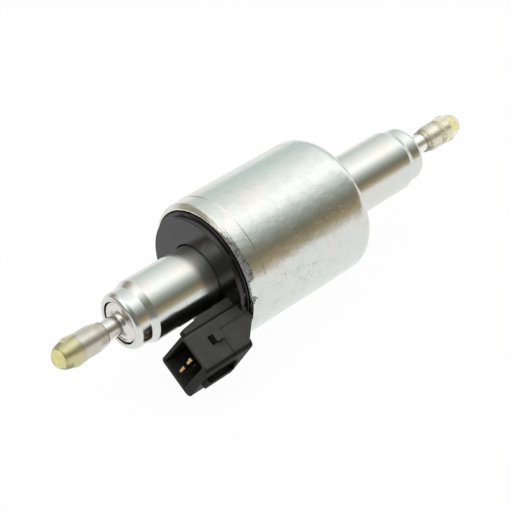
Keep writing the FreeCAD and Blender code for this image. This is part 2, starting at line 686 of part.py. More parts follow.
def coil_bobbin():
    """Turn the bobbin and sink the terminals' tails into its front flange."""
    bore = TUBE_RADIUS + FIT
    barrel = bore + BOBBIN_WALL
    bobbin = turned([
        (YOKE_BACK, bore),
        (YOKE_BACK, BOBBIN_RADIUS),
        (YOKE_BACK + BOBBIN_FLANGE, BOBBIN_RADIUS),
        (YOKE_BACK + BOBBIN_FLANGE, barrel),
        (REAR_YOKE_FRONT - BOBBIN_FLANGE, barrel),
        (REAR_YOKE_FRONT - BOBBIN_FLANGE, BOBBIN_RADIUS),
        (REAR_YOKE_FRONT, BOBBIN_RADIUS),
        (REAR_YOKE_FRONT, bore)])
    return bobbin.cut(tail_slots(YOKE_BACK, YOKE_BACK + TAIL_SINK, 0))


def coil_winding():
    """Fill the bobbin with the winding."""
    inner = TUBE_RADIUS + FIT + BOBBIN_WALL + PRESS_GAP
    return ring(YOKE_BACK + BOBBIN_FLANGE, REAR_YOKE_FRONT - BOBBIN_FLANGE, inner, WINDING_RADIUS)


def front_yoke_washer():
    """Make the steel ring behind the moulding, with a slot for each terminal's tail."""
    washer = ring(FLANGE_BACK, YOKE_BACK, TUBE_HOLE, FLANGE_BASE_RADIUS)
    return washer.cut(tail_slots(FLANGE_BACK, YOKE_BACK, YOKE_SLOT_MARGIN))


def rear_yoke_washer():
    """Make the steel ring on the can's floor."""
    outer = CAN_RADIUS - SHOULDER_ROUNDING
    return ring(REAR_YOKE_FRONT, CAN_FLOOR, TUBE_HOLE, outer)


def flange_seal():
    """Place the ring seal in the moulding's groove."""
    centre = (FLANGE_SHOULDER + FLANGE_BACK) / 2
    return round_ring(centre, FLANGE_BASE_RADIUS - FLANGE_SEAL_SECTION, FLANGE_SEAL_SECTION)


def armature():
    """Turn the armature: spring pocket in front, fuel pocket behind, piston bore and outer fuel grooves."""
    radius = TUBE_BORE - RUNNING_FIT
    bore = PISTON_RADIUS + PRESS_GAP
    body = turned([
        (ARMATURE_FRONT, SPRING_POCKET),
        (ARMATURE_FRONT, radius, ARMATURE_EDGE),
        (ARMATURE_REAR, radius, ARMATURE_EDGE),
        (ARMATURE_REAR, BUMPER_BORE),
        (PISTON_END, BUMPER_BORE),
        (PISTON_END, bore),
        (ARMATURE_FRONT + FRONT_POCKET_DEPTH, bore),
        (ARMATURE_FRONT + FRONT_POCKET_DEPTH, SPRING_POCKET)])
    return body.cut(passages(ARMATURE_FRONT, ARMATURE_REAR, radius))


def piston():
    """Grind the piston, with a chamfered metering end."""
    return turned([
        (PISTON_TIP, 0),
        (PISTON_TIP, PISTON_RADIUS - PISTON_CHAMFER),
        (PISTON_TIP + PISTON_CHAMFER, PISTON_RADIUS),
        (PISTON_END, PISTON_RADIUS),
        (PISTON_END, 0)])


def return_spring():
    """Wind the spring between the pole piece's pocket and the armature's pocket."""
    reach = RETURN_WIRE + SPRING_GAP
    start = POLE_FACE - POLE_POCKET_DEPTH + reach
    end = ARMATURE_FRONT + FRONT_POCKET_DEPTH - reach
    return spring(start, end, RETURN_MEAN_RADIUS, RETURN_WIRE, RETURN_TURNS)


def pole_piece():
    """Turn the fixed core: spring pocket towards the armature, clearance bore and outer fuel grooves."""
    pocket_floor = POLE_FACE - POLE_POCKET_DEPTH
    body = turned([
        (POLE_BACK, POLE_BORE),
        (POLE_BACK, LOOSE_FIT_RADIUS),
        (POLE_FACE, LOOSE_FIT_RADIUS),
        (POLE_FACE, SPRING_POCKET),
        (pocket_floor, SPRING_POCKET),
        (pocket_floor, POLE_BORE)])
    return body.cut(passages(POLE_BACK, POLE_FACE, LOOSE_FIT_RADIUS))


def pump_cylinder():
    """Turn the metering cylinder: grooved head, slim body with cross ports, sealed foot."""
    head_end = POLE_BACK - CYLINDER_HEAD
    foot_start = CYLINDER_BACK + CYLINDER_FOOT
    groove_centre = CYLINDER_BACK + CYLINDER_FOOT / 2
    groove_bottom = LOOSE_FIT_RADIUS - 2 * SEAL_SECTION
    bore = PISTON_RADIUS + PISTON_FIT
    body = turned([
        (CYLINDER_BACK, bore),
        (CYLINDER_BACK, LOOSE_FIT_RADIUS),
        (groove_centre - SEAL_GROOVE / 2, LOOSE_FIT_RADIUS),
        (groove_centre - SEAL_GROOVE / 2, groove_bottom),
        (groove_centre + SEAL_GROOVE / 2, groove_bottom),
        (groove_centre + SEAL_GROOVE / 2, LOOSE_FIT_RADIUS),
        (foot_start, LOOSE_FIT_RADIUS),
        (foot_start, CYLINDER_BODY),
        (head_end, CYLINDER_BODY),
        (head_end, LOOSE_FIT_RADIUS),
        (POLE_BACK, LOOSE_FIT_RADIUS),
        (POLE_BACK, bore)])
    port_start = FreeCAD.Vector(PORT_X, 0, -CYLINDER_BODY)
    port = Part.makeCylinder(PORT_RADIUS, 2 * CYLINDER_BODY, port_start, FreeCAD.Vector(0, 0, 1))
    return body.cut([passages(head_end, POLE_BACK, LOOSE_FIT_RADIUS), port])


def valve_seat():
    """Make the hardened disc that the ball closes."""
    return ring(SEAT_FACE, CYLINDER_BACK, SEAT_HOLE, SEAT_RADIUS)


def valve_cage():
    """Turn the cage: seat pocket, ball guide, stop, slotted spring bore, outlet and skirt."""
    seat_pocket = SEAT_RADIUS + PRESS_GAP
    body = turned([
        (-BASE_BACK, CAGE_SKIRT_BORE),
        (-BASE_BACK, LOOSE_FIT_RADIUS),
        (CYLINDER_BACK, LOOSE_FIT_RADIUS),
        (CYLINDER_BACK, seat_pocket),
        (SEAT_FACE, seat_pocket),
        (SEAT_FACE, BALL_GUIDE),
        (VALVE_STOP, BALL_GUIDE),
        (VALVE_STOP, VALVE_SPRING_BORE),
        (CHAMBER_FLOOR, VALVE_SPRING_BORE),
        (CHAMBER_FLOOR, CAGE_OUTLET / 2),
        (SKIRT_START, CAGE_OUTLET / 2),
        (SKIRT_START, CAGE_SKIRT_BORE)])
    half_slot = FUEL_SLOT_WIDTH / 2
    spring_room = (CHAMBER_FLOOR, VALVE_STOP)
    flat_slot = block(spring_room, (-BALL_GUIDE, BALL_GUIDE), (-half_slot, half_slot))
    upright_slot = block(spring_room, (-half_slot, half_slot), (-BALL_GUIDE, BALL_GUIDE))
    return body.cut([flat_slot, upright_slot])


def valve_spring():
    """Wind the spring between the cage's floor and the ball."""
    reach = BALL_RADIUS + VALVE_WIRE + SPRING_GAP
    end = BALL_X - math.sqrt(reach ** 2 - VALVE_SPRING_RADIUS ** 2)
    start = CHAMBER_FLOOR + VALVE_WIRE + SPRING_GAP
    return spring(start, end, VALVE_SPRING_RADIUS, VALVE_WIRE, VALVE_SPRING_TURNS)


def stop_sleeve():
    """Turn the sleeve that holds the bumper and strainer between the armature's space and the nozzle."""
    flange_end = BUMPER_BACK + SLEEVE_FLANGE
    wall_bore = LOOSE_FIT_RADIUS - SLEEVE_WALL
    return turned([
        (BUMPER_BACK, SLEEVE_HOLE),
        (BUMPER_BACK, LOOSE_FIT_RADIUS),
        (BASE_BACK, LOOSE_FIT_RADIUS),
        (BASE_BACK, wall_bore),
        (flange_end, wall_bore),
        (flange_end, SLEEVE_HOLE)])


def inlet_strainer():
    """Form the strainer cup, closed towards the armature, with its rim on the nozzle."""
    closed_end = BUMPER_BACK + SLEEVE_FLANGE + STRAINER_SETBACK
    rim = LOOSE_FIT_RADIUS - SLEEVE_WALL - PRESS_GAP
    return turned([
        (closed_end, 0),
        (closed_end, STRAINER_RADIUS, STRAINER_ROUNDING),
        (BASE_BACK - STRAINER_RIM, STRAINER_RADIUS),
        (BASE_BACK - STRAINER_RIM, rim),
        (BASE_BACK, rim),
        (BASE_BACK, STRAINER_RADIUS - STRAINER_WALL),
        (closed_end + STRAINER_WALL, STRAINER_RADIUS - STRAINER_WALL, STRAINER_ROUNDING - STRAINER_WALL),
        (closed_end + STRAINER_WALL, 0)])


def build_pieces():
    """Make every piece of the pump, by name."""
    terminal_upper = terminal(BLADE_V_CENTRE - BLADE_PITCH / 2)
    terminal_lower = terminal(BLADE_V_CENTRE + BLADE_PITCH / 2)
    cylinder_seal_x = CYLINDER_BACK + CYLINDER_FOOT / 2
    seal_radius = LOOSE_FIT_RADIUS - SEAL_SECTION
    return {
        "outer_can": outer_can(),
        "connector_moulding": connector_moulding([terminal_upper, terminal_lower]),
        "terminal_upper": terminal_upper,
        "terminal_lower": terminal_lower,
        "flange_seal": flange_seal(),
        "front_yoke_washer": front_yoke_washer(),
        "rear_yoke_washer": rear_yoke_washer(),
        "coil_bobbin": coil_bobbin(),
        "coil_winding": coil_winding(),
        "outlet_tube": tube_half(-1, -RING_NEAR),
        "spacer_ring": spacer_ring(),
        "inlet_tube": tube_half(1, RING_FAR),
        "outlet_nozzle": nozzle(-1),
        "inlet_nozzle": nozzle(1),
        "outlet_nozzle_seal": nozzle_seal(-1),
        "inlet_nozzle_seal": nozzle_seal(1),
        "outlet_cap": cap(-1, OUTLET_CAP_GAP),
        "inlet_cap": cap(1, INLET_CAP_GAP),
        "armature": armature(),
        "piston": piston(),
        "return_spring": return_spring(),
        "pole_piece": pole_piece(),
        "damping_washer": ring(POLE_FACE, WASHER_FACE, WASHER_BORE, LOOSE_FIT_RADIUS),
        "pump_cylinder": pump_cylinder(),
        "cylinder_seal": round_ring(cylinder_seal_x, seal_radius, SEAL_SECTION),
        "delivery_valve_seat": valve_seat(),
        "delivery_valve_ball": Part.makeSphere(BALL_RADIUS, FreeCAD.Vector(BALL_X, 0, 0)),
        "delivery_valve_spring": valve_spring(),
        "valve_cage": valve_cage(),
        "stop_bumper": ring(BUMPER_FRONT, BUMPER_BACK, BUMPER_BORE, LOOSE_FIT_RADIUS),
        "stop_sleeve": stop_sleeve(),
        "inlet_strainer": inlet_strainer(),
    }


os.makedirs("parts", exist_ok=True)
for name, piece in build_pieces().items():
    piece.exportStep("parts/" + name + ".step")
    print(name, len(piece.Solids), round(piece.Volume, 2), piece.isValid())
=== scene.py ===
"""Dresses the metering fuel pump: plated can and tube, turned nozzles, moulded plug socket and clear caps.

Sizes are in millimetres, in the frame's axes: X runs along the pump towards its inlet, Z is up, and the
origin is on the pump's axis at the middle of the centre tube. An outline is a list of (x, radius) or
(x, radius, rounding).
"""

import logging
import math
from dataclasses import dataclass, field
from enum import Enum
from typing import Any, Callable, Optional, Sequence, Union

import bmesh
import bpy
from bpy.types import Material, Mesh, Node, NodeSocket, NodeTree, Object
from mathutils import Matrix, Vector, noise


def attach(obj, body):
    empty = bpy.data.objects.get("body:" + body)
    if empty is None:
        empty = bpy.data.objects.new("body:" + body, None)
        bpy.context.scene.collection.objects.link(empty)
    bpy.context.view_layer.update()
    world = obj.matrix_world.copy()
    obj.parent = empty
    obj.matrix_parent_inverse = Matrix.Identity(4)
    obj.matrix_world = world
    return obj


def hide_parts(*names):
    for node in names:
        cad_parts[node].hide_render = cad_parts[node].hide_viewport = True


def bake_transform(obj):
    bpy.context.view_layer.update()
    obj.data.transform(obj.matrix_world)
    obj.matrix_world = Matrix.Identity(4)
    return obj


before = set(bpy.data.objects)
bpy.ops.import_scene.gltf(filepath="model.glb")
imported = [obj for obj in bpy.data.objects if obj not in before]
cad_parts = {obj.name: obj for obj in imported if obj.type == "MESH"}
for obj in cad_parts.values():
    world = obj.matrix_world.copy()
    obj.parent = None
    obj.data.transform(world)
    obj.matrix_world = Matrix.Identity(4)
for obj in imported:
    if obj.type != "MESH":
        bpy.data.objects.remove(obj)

MM = 0.001
DOUBLES = 2e-6
QUARTER = math.pi / 2
WHITE = (1.0, 1.0, 1.0, 1.0)
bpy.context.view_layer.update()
LOG = logging.getLogger("fuel_pump")

Place = tuple[float, float, float]
Colour = tuple[float, float, float]
Span = tuple[float, float]
Corner = Union[tuple[float, float], tuple[float, float, float]]
Key = Union[str, int]
Inputs = dict[Key, Any]
Number = Union[float, "Signal"]
Sizes = dict[str, Union[int, float]]


class End(Enum):
    """The two ends of the pump, by the sign of their X."""

    OUTLET = -1
    INLET = 1


class Body(Enum):
    """The frame's rigid bodies."""

    HOUSING = "housing"
    PLUNGER = "plunger"
    BALL = "delivery_ball"
    OUTLET_CAP = "outlet_transport_cap"
    INLET_CAP = "inlet_transport_cap"


def operator(operation: str, reflected: bool = False) -> Callable[["Signal", Number], "Signal"]:
    """Makes the method behind one of the signal's operators.

    Args:
        operation: The Math node's operation.
        reflected: Whether the other term comes first.

    Returns:
        The method.
    """

    def method(signal: "Signal", other: Number) -> "Signal":
        """Joins the signal and another term in a Math node."""
        terms = (other, signal) if reflected else (signal, other)
        return signal.graph.maths(operation, *terms)

    return method


class Signal:
    """A node socket's value for use in Python arithmetic. Each operation adds a Math node."""

    __add__, __radd__ = operator("ADD"), operator("ADD", True)
    __sub__, __rsub__ = operator("SUBTRACT"), operator("SUBTRACT", True)
    __mul__, __rmul__ = operator("MULTIPLY"), operator("MULTIPLY", True)
    __truediv__, __rtruediv__ = operator("DIVIDE"), operator("DIVIDE", True)

    def __init__(self, graph: "Graph", socket: NodeSocket) -> None:
        """Wraps an output socket of the graph that takes the new nodes."""
        self.graph = graph
        self.socket = socket

    def __abs__(self) -> "Signal":
        """Drops the sign."""
        return self.graph.maths("ABSOLUTE", self)

    def rises(self, low: float, high: float) -> "Signal":
        """Gives a smooth step, 0 up to the low value and 1 from the high one."""
        inputs = {"Value": self, "From Min": low, "From Max": high}
        return self.graph.signal("ShaderNodeMapRange", inputs, interpolation_type="SMOOTHSTEP")


class Graph:
    """A node tree with one way to add any node."""

    def __init__(self, tree: NodeTree) -> None:
        """Empties the tree and takes it over."""
        tree.nodes.clear()
        self.tree = tree

    def node(self, kind: str, inputs: Optional[Inputs] = None, **settings: Any) -> Node:
        """Adds a node.

        Args:
            kind: The node's type.
            inputs: Values, signals, sockets or nodes, which give their first output, by the input's name.
            settings: The node's own settings, set first; stops holds a ramp's (place, colour) pairs.

        Returns:
            The new node.
        """
        made = self.tree.nodes.new(kind)
        for name, value in settings.items():
            if name == "stops":
                self._fill(made.color_ramp.elements, value)
            else:
                setattr(made, name, value)
        for name, value in (inputs or {}).items():
            source = self._source(value)
            if isinstance(source, NodeSocket):
                self.tree.links.new(source, made.inputs[name])
            else:
                made.inputs[name].default_value = source
        return made

    @staticmethod
    def _fill(elements: Any, stops: Sequence[tuple[float, Colour]]) -> None:
        """Writes a ramp's stops.

        Args:
            elements: The ramp's elements.
            stops: Their places and colours, in order.
        """
        while len(elements) < len(stops):
            elements.new(0.5)
        for element, (place, colour) in zip(elements, stops):
            element.position = place
            element.color = (*colour, 1.0)

    @staticmethod
    def _source(value: Any) -> Any:
        """Finds the socket behind a node or signal, and leaves a plain value as it is."""
        value = value.outputs[0] if isinstance(value, Node) else value
        return value.socket if isinstance(value, Signal) else value

    def signal(self, kind: str, inputs: Inputs, output: Key = 0, **settings: Any) -> Signal:
        """Adds a node and reads one of its outputs."""
        return Signal(self, self.node(kind, inputs, **settings).outputs[output])

    def maths(self, operation: str, *terms: Number) -> Signal:
        """Adds a Math node of one to three terms."""
        return self.signal("ShaderNodeMath", dict(enumerate(terms)), operation=operation)

    def axes(self, vector: Any) -> tuple[Signal, ...]:
        """Splits a vector into its X, Y and Z."""
        split = self.node("ShaderNodeSeparateXYZ", {0: vector})
        return tuple(Signal(self, output) for output in split.outputs)

    def distance(self, first: Any, second: Any) -> Signal:
        """Measures how far two places or directions are apart."""
        return self.signal("ShaderNodeVectorMath", {0: first, 1: second}, "Value", operation="DISTANCE")

    def mixed(self, share: Signal, first: Any, second: Any) -> NodeSocket:
        """Mixes two colours, tuples or sockets, by the second one's share."""
        ends = [(*colour, 1.0) if isinstance(colour, tuple) else colour for colour in (first, second)]
        return self.node("ShaderNodeMix", {0: share, 6: ends[0], 7: ends[1]}, data_type="RGBA").outputs[2]


class MaterialGraph(Graph):
    """The nodes of one material, with the patterns that the finishes share."""

    def __init__(self, name: str) -> None:
        """Makes an empty material.

        Args:
            name: The material's name.
        """
        self.material = bpy.data.materials.new(name)
        self.material.use_nodes = True
        super().__init__(self.material.node_tree)
        self.place = self.node("ShaderNodeTexCoord").outputs["Object"]

    def stretched(self, *scale: float) -> Node:
        """Stretches the object's coordinates by factors along X, Y and Z."""
        return self.node("ShaderNodeMapping", {"Vector": self.place, "Scale": scale})

    def noise(self, per_mm: float, detail: float = 2.0, at: Optional[Node] = None) -> Signal:
        """Adds soft noise near 0.5, with features per millimetre and octaves of detail."""
        inputs = {"Vector": self.place if at is None else at, "Scale": per_mm / MM, "Detail": detail}
        return self.signal("ShaderNodeTexNoise", inputs)

    def specks(self, per_mm: float, radius: float, share: float) -> Signal:
        """Scatters small round specks.

        Args:
            per_mm: Cells per millimetre, one speck at most in each.
            radius: The speck's radius as a share of a cell.
            share: The share of cells that have a speck.

        Returns:
            1 on a speck and 0 off it.
        """
        cells = self.node("ShaderNodeTexVoronoi", {"Vector": self.place, "Scale": per_mm / MM})
        chance = self.axes(cells.outputs["Color"])[0]
        near = 1.0 - Signal(self, cells.outputs["Distance"]).rises(radius * 0.5, radius)
        return near * (1.0 - chance.rises(share, share + 0.01))

    def near(self, point: Place, radius: float) -> Signal:
        """Marks a round patch, 1 at its centre and falling to 0 at its radius."""
        away = self.distance(self.place, Vector(point) * MM)
        return 1.0 - away.rises(radius * 0.4 * MM, radius * MM)

    def line(self, along: Signal, place: float, core: float, edge: float) -> Signal:
        """Marks a line at a place along the axis, 1 within its core and 0 past its edge."""
        return 1.0 - abs(along - place * MM).rises(core * MM, edge * MM)

    def bumped(self, height: Signal, depth: float = 1.0) -> Node:
        """Turns a height from 0 to 1 into a normal, for a depth in millimetres."""
        return self.node("ShaderNodeBump", {"Strength": 1.0, "Distance": depth * MM, "Height": height})

    def surface(self, inputs: Inputs) -> Material:
        """Ends the material in a Principled surface of these values and links."""
        self.node("ShaderNodeOutputMaterial", {"Surface": self.node("ShaderNodeBsdfPrincipled", inputs)})
        return self.material


@dataclass(frozen=True)
class MetalFinish:
    """A bare or plated metal, with cloudy plating, fine speckle and turning lines."""

    name: str
    colour: Colour
    cloud: Colour
    roughness: float
    speckle: float = 0.002
    mottle: float = 0.06
    turning: float = 0.0
    turning_per_mm: float = 4.0
    spots: float = 0.0
    tarnish: float = 0.0
    waves: float = 0.0
    dull_place: float = 0.0
    dull: float = 0.0
    scuffs: tuple[tuple[Place, float], ...] = ()
    tarnish_colour: Colour = (0.42, 0.39, 0.33)
    dust_colour: Colour = (0.95, 0.95, 0.93)
    pit_colour: Colour = (0.16, 0.15, 0.13)
    scuff_colour: Colour = (0.30, 0.26, 0.22)

    def build(self) -> Material:
        """Makes the material.

        Returns:
            The material.
        """
        graph = MaterialGraph(self.name)
        clouds = graph.noise(0.09, 3.0)
        grain = graph.noise(3.2)
        colour = graph.mixed(clouds.rises(0.38, 0.66), self.colour, self.cloud)
        rough = self.roughness + (clouds - 0.5) * 0.10 + (grain - 0.5) * self.mottle
        height = grain * self.speckle
        if self.waves:
            height = height + graph.noise(0.4, 4.0) * self.waves
        if self.turning:
            lines = graph.noise(self.turning_per_mm, 1.0, graph.stretched(1.0, 0.02, 0.02))
            height = height + lines * self.turning
            rough = rough + (lines - 0.5) * 0.08
        if self.tarnish:
            coarse, fine = graph.noise(0.42, 5.0), graph.noise(1.7, 3.0)
            blotch = (coarse.rises(0.44, 0.68) + fine.rises(0.52, 0.70) * 0.5) * self.tarnish
            colour = graph.mixed(blotch, colour, self.tarnish_colour)
            rough = rough + blotch * 0.3
        if self.spots:
            dust = graph.specks(1.0, 0.20, self.spots)
            pits = graph.specks(0.75, 0.09, self.spots * 0.8)
            colour = graph.mixed(dust * 0.6, colour, self.dust_colour)
            colour = graph.mixed(pits * 0.7, colour, self.pit_colour)
            rough = rough + (dust + pits) * 0.3
        if self.dull:
            rough = rough + graph.line(graph.axes(graph.place)[0], self.dull_place, 1.5, 7.0) * self.dull
        for centre, radius in self.scuffs:
            veins = 1.0 - abs(graph.noise(0.55, 4.0) - 0.5).rises(0.004, 0.022)
            mark = veins * graph.noise(1.3).rises(0.46, 0.6) * graph.near(centre, radius)
            colour = graph.mixed(mark * 0.75, colour, self.scuff_colour)
            rough = rough + mark * 0.25
        normal = graph.bumped(height)
        return graph.surface({"Base Color": colour, "Metallic": 1.0, "Roughness": rough, "Normal": normal})


@dataclass(frozen=True)
class ShearedFinishWithPaintedReflection:
    """The rough, grey face where the can's rim was cut, in dark and bright patches. Over the rim's rounding
    that faces the front, it is also a painted reflection of the darker front.
    """

    name: str = "sheared_edge_and_painted_reflection"
    bright: Colour = (0.56, 0.56, 0.54)
    dark: Colour = (0.19, 0.19, 0.185)
    depth: float = 0.03

    def build(self) -> Material:
        """Makes the material.

        Returns:
            The material.
        """
        graph = MaterialGraph(self.name)
        torn = graph.noise(2.7, 4.0)
        patches = torn * 0.7 + graph.noise(0.9, 3.0) * 0.3
        return graph.surface({
            "Base Color": graph.mixed(patches.rises(0.38, 0.62), self.dark, self.bright),
            "Metallic": 0.8,
            "Roughness": 0.34 + torn * 0.2,
            "Normal": graph.bumped(torn, self.depth),
        })


@dataclass(frozen=True)
class PlasticFinish:
    """A moulded plastic or rubber with fine grain and a little dust."""

    name: str
    colour: Colour
    roughness: float
    grain: float = 0.006
    grain_per_mm: float = 5.0
    turning: float = 0.0
    dust: float = 0.0
    refraction: float = 1.5
    worn: float = 1.7
    dust_colour: Colour = (0.75, 0.75, 0.72)

    def build(self) -> Material:
        """Makes the material.

        Returns:
            The material.
        """
        graph = MaterialGraph(self.name)
        clouds = graph.noise(0.25, 3.0)
        grain = graph.noise(self.grain_per_mm)
        worn = tuple(min(1.0, part * self.worn) for part in self.colour)
        colour = graph.mixed((clouds * 0.6 + grain * 0.4).rises(0.35, 0.70), self.colour, worn)
        height = grain * self.grain
        if self.turning:
            height = height + graph.noise(3.0, 1.0, graph.stretched(0.02, 1.0, 1.0)) * self.turning
        rough = self.roughness + (grain - 0.5) * 0.15 + (clouds - 0.5) * 0.12
        if self.dust:
            specks = graph.specks(0.55, 0.10, self.dust) + graph.specks(0.9, 0.07, self.dust)
            colour = graph.mixed(specks, colour, self.dust_colour)
            rough = rough + specks * 0.3
        inputs = {"Base Color": colour, "Roughness": rough, "IOR": self.refraction}
        return graph.surface({**inputs, "Normal": graph.bumped(height)})


@dataclass(frozen=True)
class ClearPlasticFinish:
    """A clear, slightly yellow soft plastic, deeper in colour towards its solid tip. Its line colour is
    painted shade: a dark ring of contact shadow just past the rim, and a dark line at the dome's edge.
    """

    name: str
    rim: float
    dome: float
    tip: float
    thin: Colour = (0.975, 0.96, 0.89)
    solid: Colour = (0.93, 0.89, 0.44)
    # Colour of the painted shade lines: contact shadow at the rim, and shade at the dome's edge.
    line: Colour = (0.42, 0.38, 0.27)
    roughness: float = 0.10
    refraction: float = 1.49
    clearness: float = 0.84
    ripple: float = 0.03

    def build(self) -> Material:
        """Makes the material.

        Returns:
            The material.
        """
        graph = MaterialGraph(self.name)
        along = abs(graph.axes(graph.place)[0])
        start = self.dome * MM
        solid = along.rises(start, (self.dome + 0.25) * MM) * 0.7 + along.rises(start, self.tip * MM) * 0.3
        # Painted shade: a contact-shadow ring just past the rim, and a dark line at the dome's edge.
        rim_contact_shadow_line = graph.line(along, self.rim + 0.08, 0.04, 0.10)
        lines = rim_contact_shadow_line + graph.line(along, self.dome, 0.03, 0.09)
        flow = graph.noise(0.8, 3.0)
        return graph.surface({
            "Base Color": graph.mixed(lines * 0.8, graph.mixed(solid, self.thin, self.solid), self.line),
            "Roughness": self.roughness + flow * 0.08,
            "IOR": self.refraction,
            "Transmission Weight": self.clearness,
            "Normal": graph.bumped(flow, self.ripple),
        })


STEEL: Colour = (0.70, 0.735, 0.715)
WARM_STEEL: Colour = (0.73, 0.725, 0.68)
TURNED = {"speckle": 0.0003, "mottle": 0.04, "turning": 0.0012, "turning_per_mm": 5.0}


class Look(Enum):
    """Every finish on the pump."""

    CAN = MetalFinish(
        "bright_zinc_plate", STEEL, WARM_STEEL, 0.20, speckle=0.004, mottle=0.16, turning=0.0006,
        turning_per_mm=1.5, spots=0.14, tarnish=0.12, waves=0.09,
        scuffs=(((-13.0, -17.0, 3.0), 3.6), ((-5.5, -17.4, 1.2), 5.2), ((-9.0, -10.6, 13.8), 3.0)),
    )
    # The cut face, which also serves as a painted reflection of the darker front on the rim's rounding.
    SHEARED_AND_PAINTED_REFLECTION = ShearedFinishWithPaintedReflection()
    TUBE = MetalFinish(
        "drawn_bright_steel", STEEL, WARM_STEEL, 0.21, speckle=0.0004, mottle=0.05, turning=0.012,
        spots=0.04, tarnish=0.04, waves=0.004, dull_place=-22.5, dull=0.13,
    )
    OUTLET_NOZZLE = MetalFinish("turned_nickel", (0.74, 0.72, 0.70), (0.73, 0.69, 0.66), 0.22, **TURNED)
    # Painted light: a lighter copy of the nozzle's nickel, so that the clear inlet cap over it looks
    # lighter.
    INLET_NOZZLE = MetalFinish("satin_nickel_painted_lighter", (0.93, 0.91, 0.86), (0.91, 0.88, 0.81), 0.33, **TURNED)
    YOKE = MetalFinish("yoke_steel", (0.60, 0.60, 0.59), (0.66, 0.64, 0.58), 0.35, 0.003, 0.1, 0.002)
    CORE = MetalFinish("core_steel", (0.55, 0.54, 0.52), (0.60, 0.57, 0.52), 0.30, 0.002, 0.1, 0.003)
    GROUND = MetalFinish(
        "ground_steel", (0.74, 0.74, 0.73), (0.78, 0.77, 0.75), 0.16, 0.0006, 0.05, 0.001, 8.0,
    )
    WIRE = MetalFinish("spring_wire", (0.66, 0.66, 0.66), (0.60, 0.57, 0.52), 0.25, 0.001)
    MESH = MetalFinish("strainer_wire", (0.60, 0.58, 0.52), (0.66, 0.60, 0.50), 0.3, 0.001)
    BRASS = MetalFinish("turned_brass", (0.86, 0.66, 0.34), (0.80, 0.58, 0.28), 0.25, 0.001, 0.1, 0.002)
    BLADE = MetalFinish("blade_brass", (0.72, 0.50, 0.22), (0.50, 0.32, 0.13), 0.30, 0.004, 0.2)
    COPPER = MetalFinish("enamelled_copper", (0.72, 0.30, 0.13), (0.62, 0.22, 0.09), 0.22, 0.001)
    # Real grain, in a lighter colour that is painted light on the socket's lit top faces.
    GRAINED = PlasticFinish("grained_black_plastic_painted_light", (0.040, 0.040, 0.038), 0.52, 0.060, 2.4, dust=0.04)
    SOCKET = PlasticFinish(
        "plain_black_plastic", (0.006, 0.006, 0.0055), 0.62, 0.010, 3.0, refraction=1.30,
    )
    FLANGE = PlasticFinish(
        "glossy_black_plastic", (0.006, 0.006, 0.006), 0.17, 0.0006, turning=0.0006, dust=0.03,
        refraction=1.54,
    )
    BOBBIN = PlasticFinish("bobbin_plastic", (0.62, 0.57, 0.45), 0.45, 0.004)
    RUBBER = PlasticFinish("seal_rubber", (0.020, 0.020, 0.021), 0.55, 0.004, 6.0)
    OUTLET_CAP = ClearPlasticFinish("clear_cap_outlet", rim=52.0, dome=59.2, tip=65.6)
    # The inlet cap's line colour is its painted shade at the rim and the dome's edge, lighter than the
    # outlet's.
    INLET_CAP = ClearPlasticFinish(
        "clear_cap_inlet", rim=53.8, dome=62.4, tip=67.4, thin=(1.0, 0.978, 0.87), solid=(0.94, 0.91, 0.62),
        line=(0.66, 0.60, 0.42), roughness=0.17, refraction=1.36, clearness=0.97,
    )


def linked(name: str, data: Any) -> Object:
    """Puts a new object in the scene.

    Args:
        name: The object's name.
        data: Its mesh or camera.

    Returns:
        The object.
    """
    made = bpy.data.objects.new(name, data)
    bpy.context.scene.collection.objects.link(made)
    return made


def modified(base: Mesh, kind: str, settings: dict[str, Any], inputs: dict[str, Any]) -> Mesh:
    """Runs one modifier on a mesh.

    Args:
        base: The mesh that goes in.
        kind: The modifier's type.
        settings: Its settings.
        inputs: A geometry graph's inputs, by the socket's identifier.

    Returns:
        The plain mesh that comes out.
    """
    holder = linked("holder", base)
    modifier = holder.modifiers.new("form", kind)
    for name, value in settings.items():
        setattr(modifier, name, value)
    for identifier, value in inputs.items():
        modifier[identifier] = value
    evaluated = holder.evaluated_get(bpy.context.evaluated_depsgraph_get())
    made = bpy.data.meshes.new_from_object(evaluated)
    bpy.data.objects.remove(holder)
    return made


def polar(place: Vector) -> tuple[float, float, float]:
    """Reads a place's x and radius, in millimetres, and its angle round the axis, in degrees."""
    angle = math.degrees(math.atan2(place.z, place.y))
    return place.x / MM, math.hypot(place.y, place.z) / MM, angle


def ramp(value: float, start: float, spread: float) -> float:
    """Rises evenly from 0 at the start to 1 after the spread."""
    return min(1.0, max(0.0, (value - start) / spread))


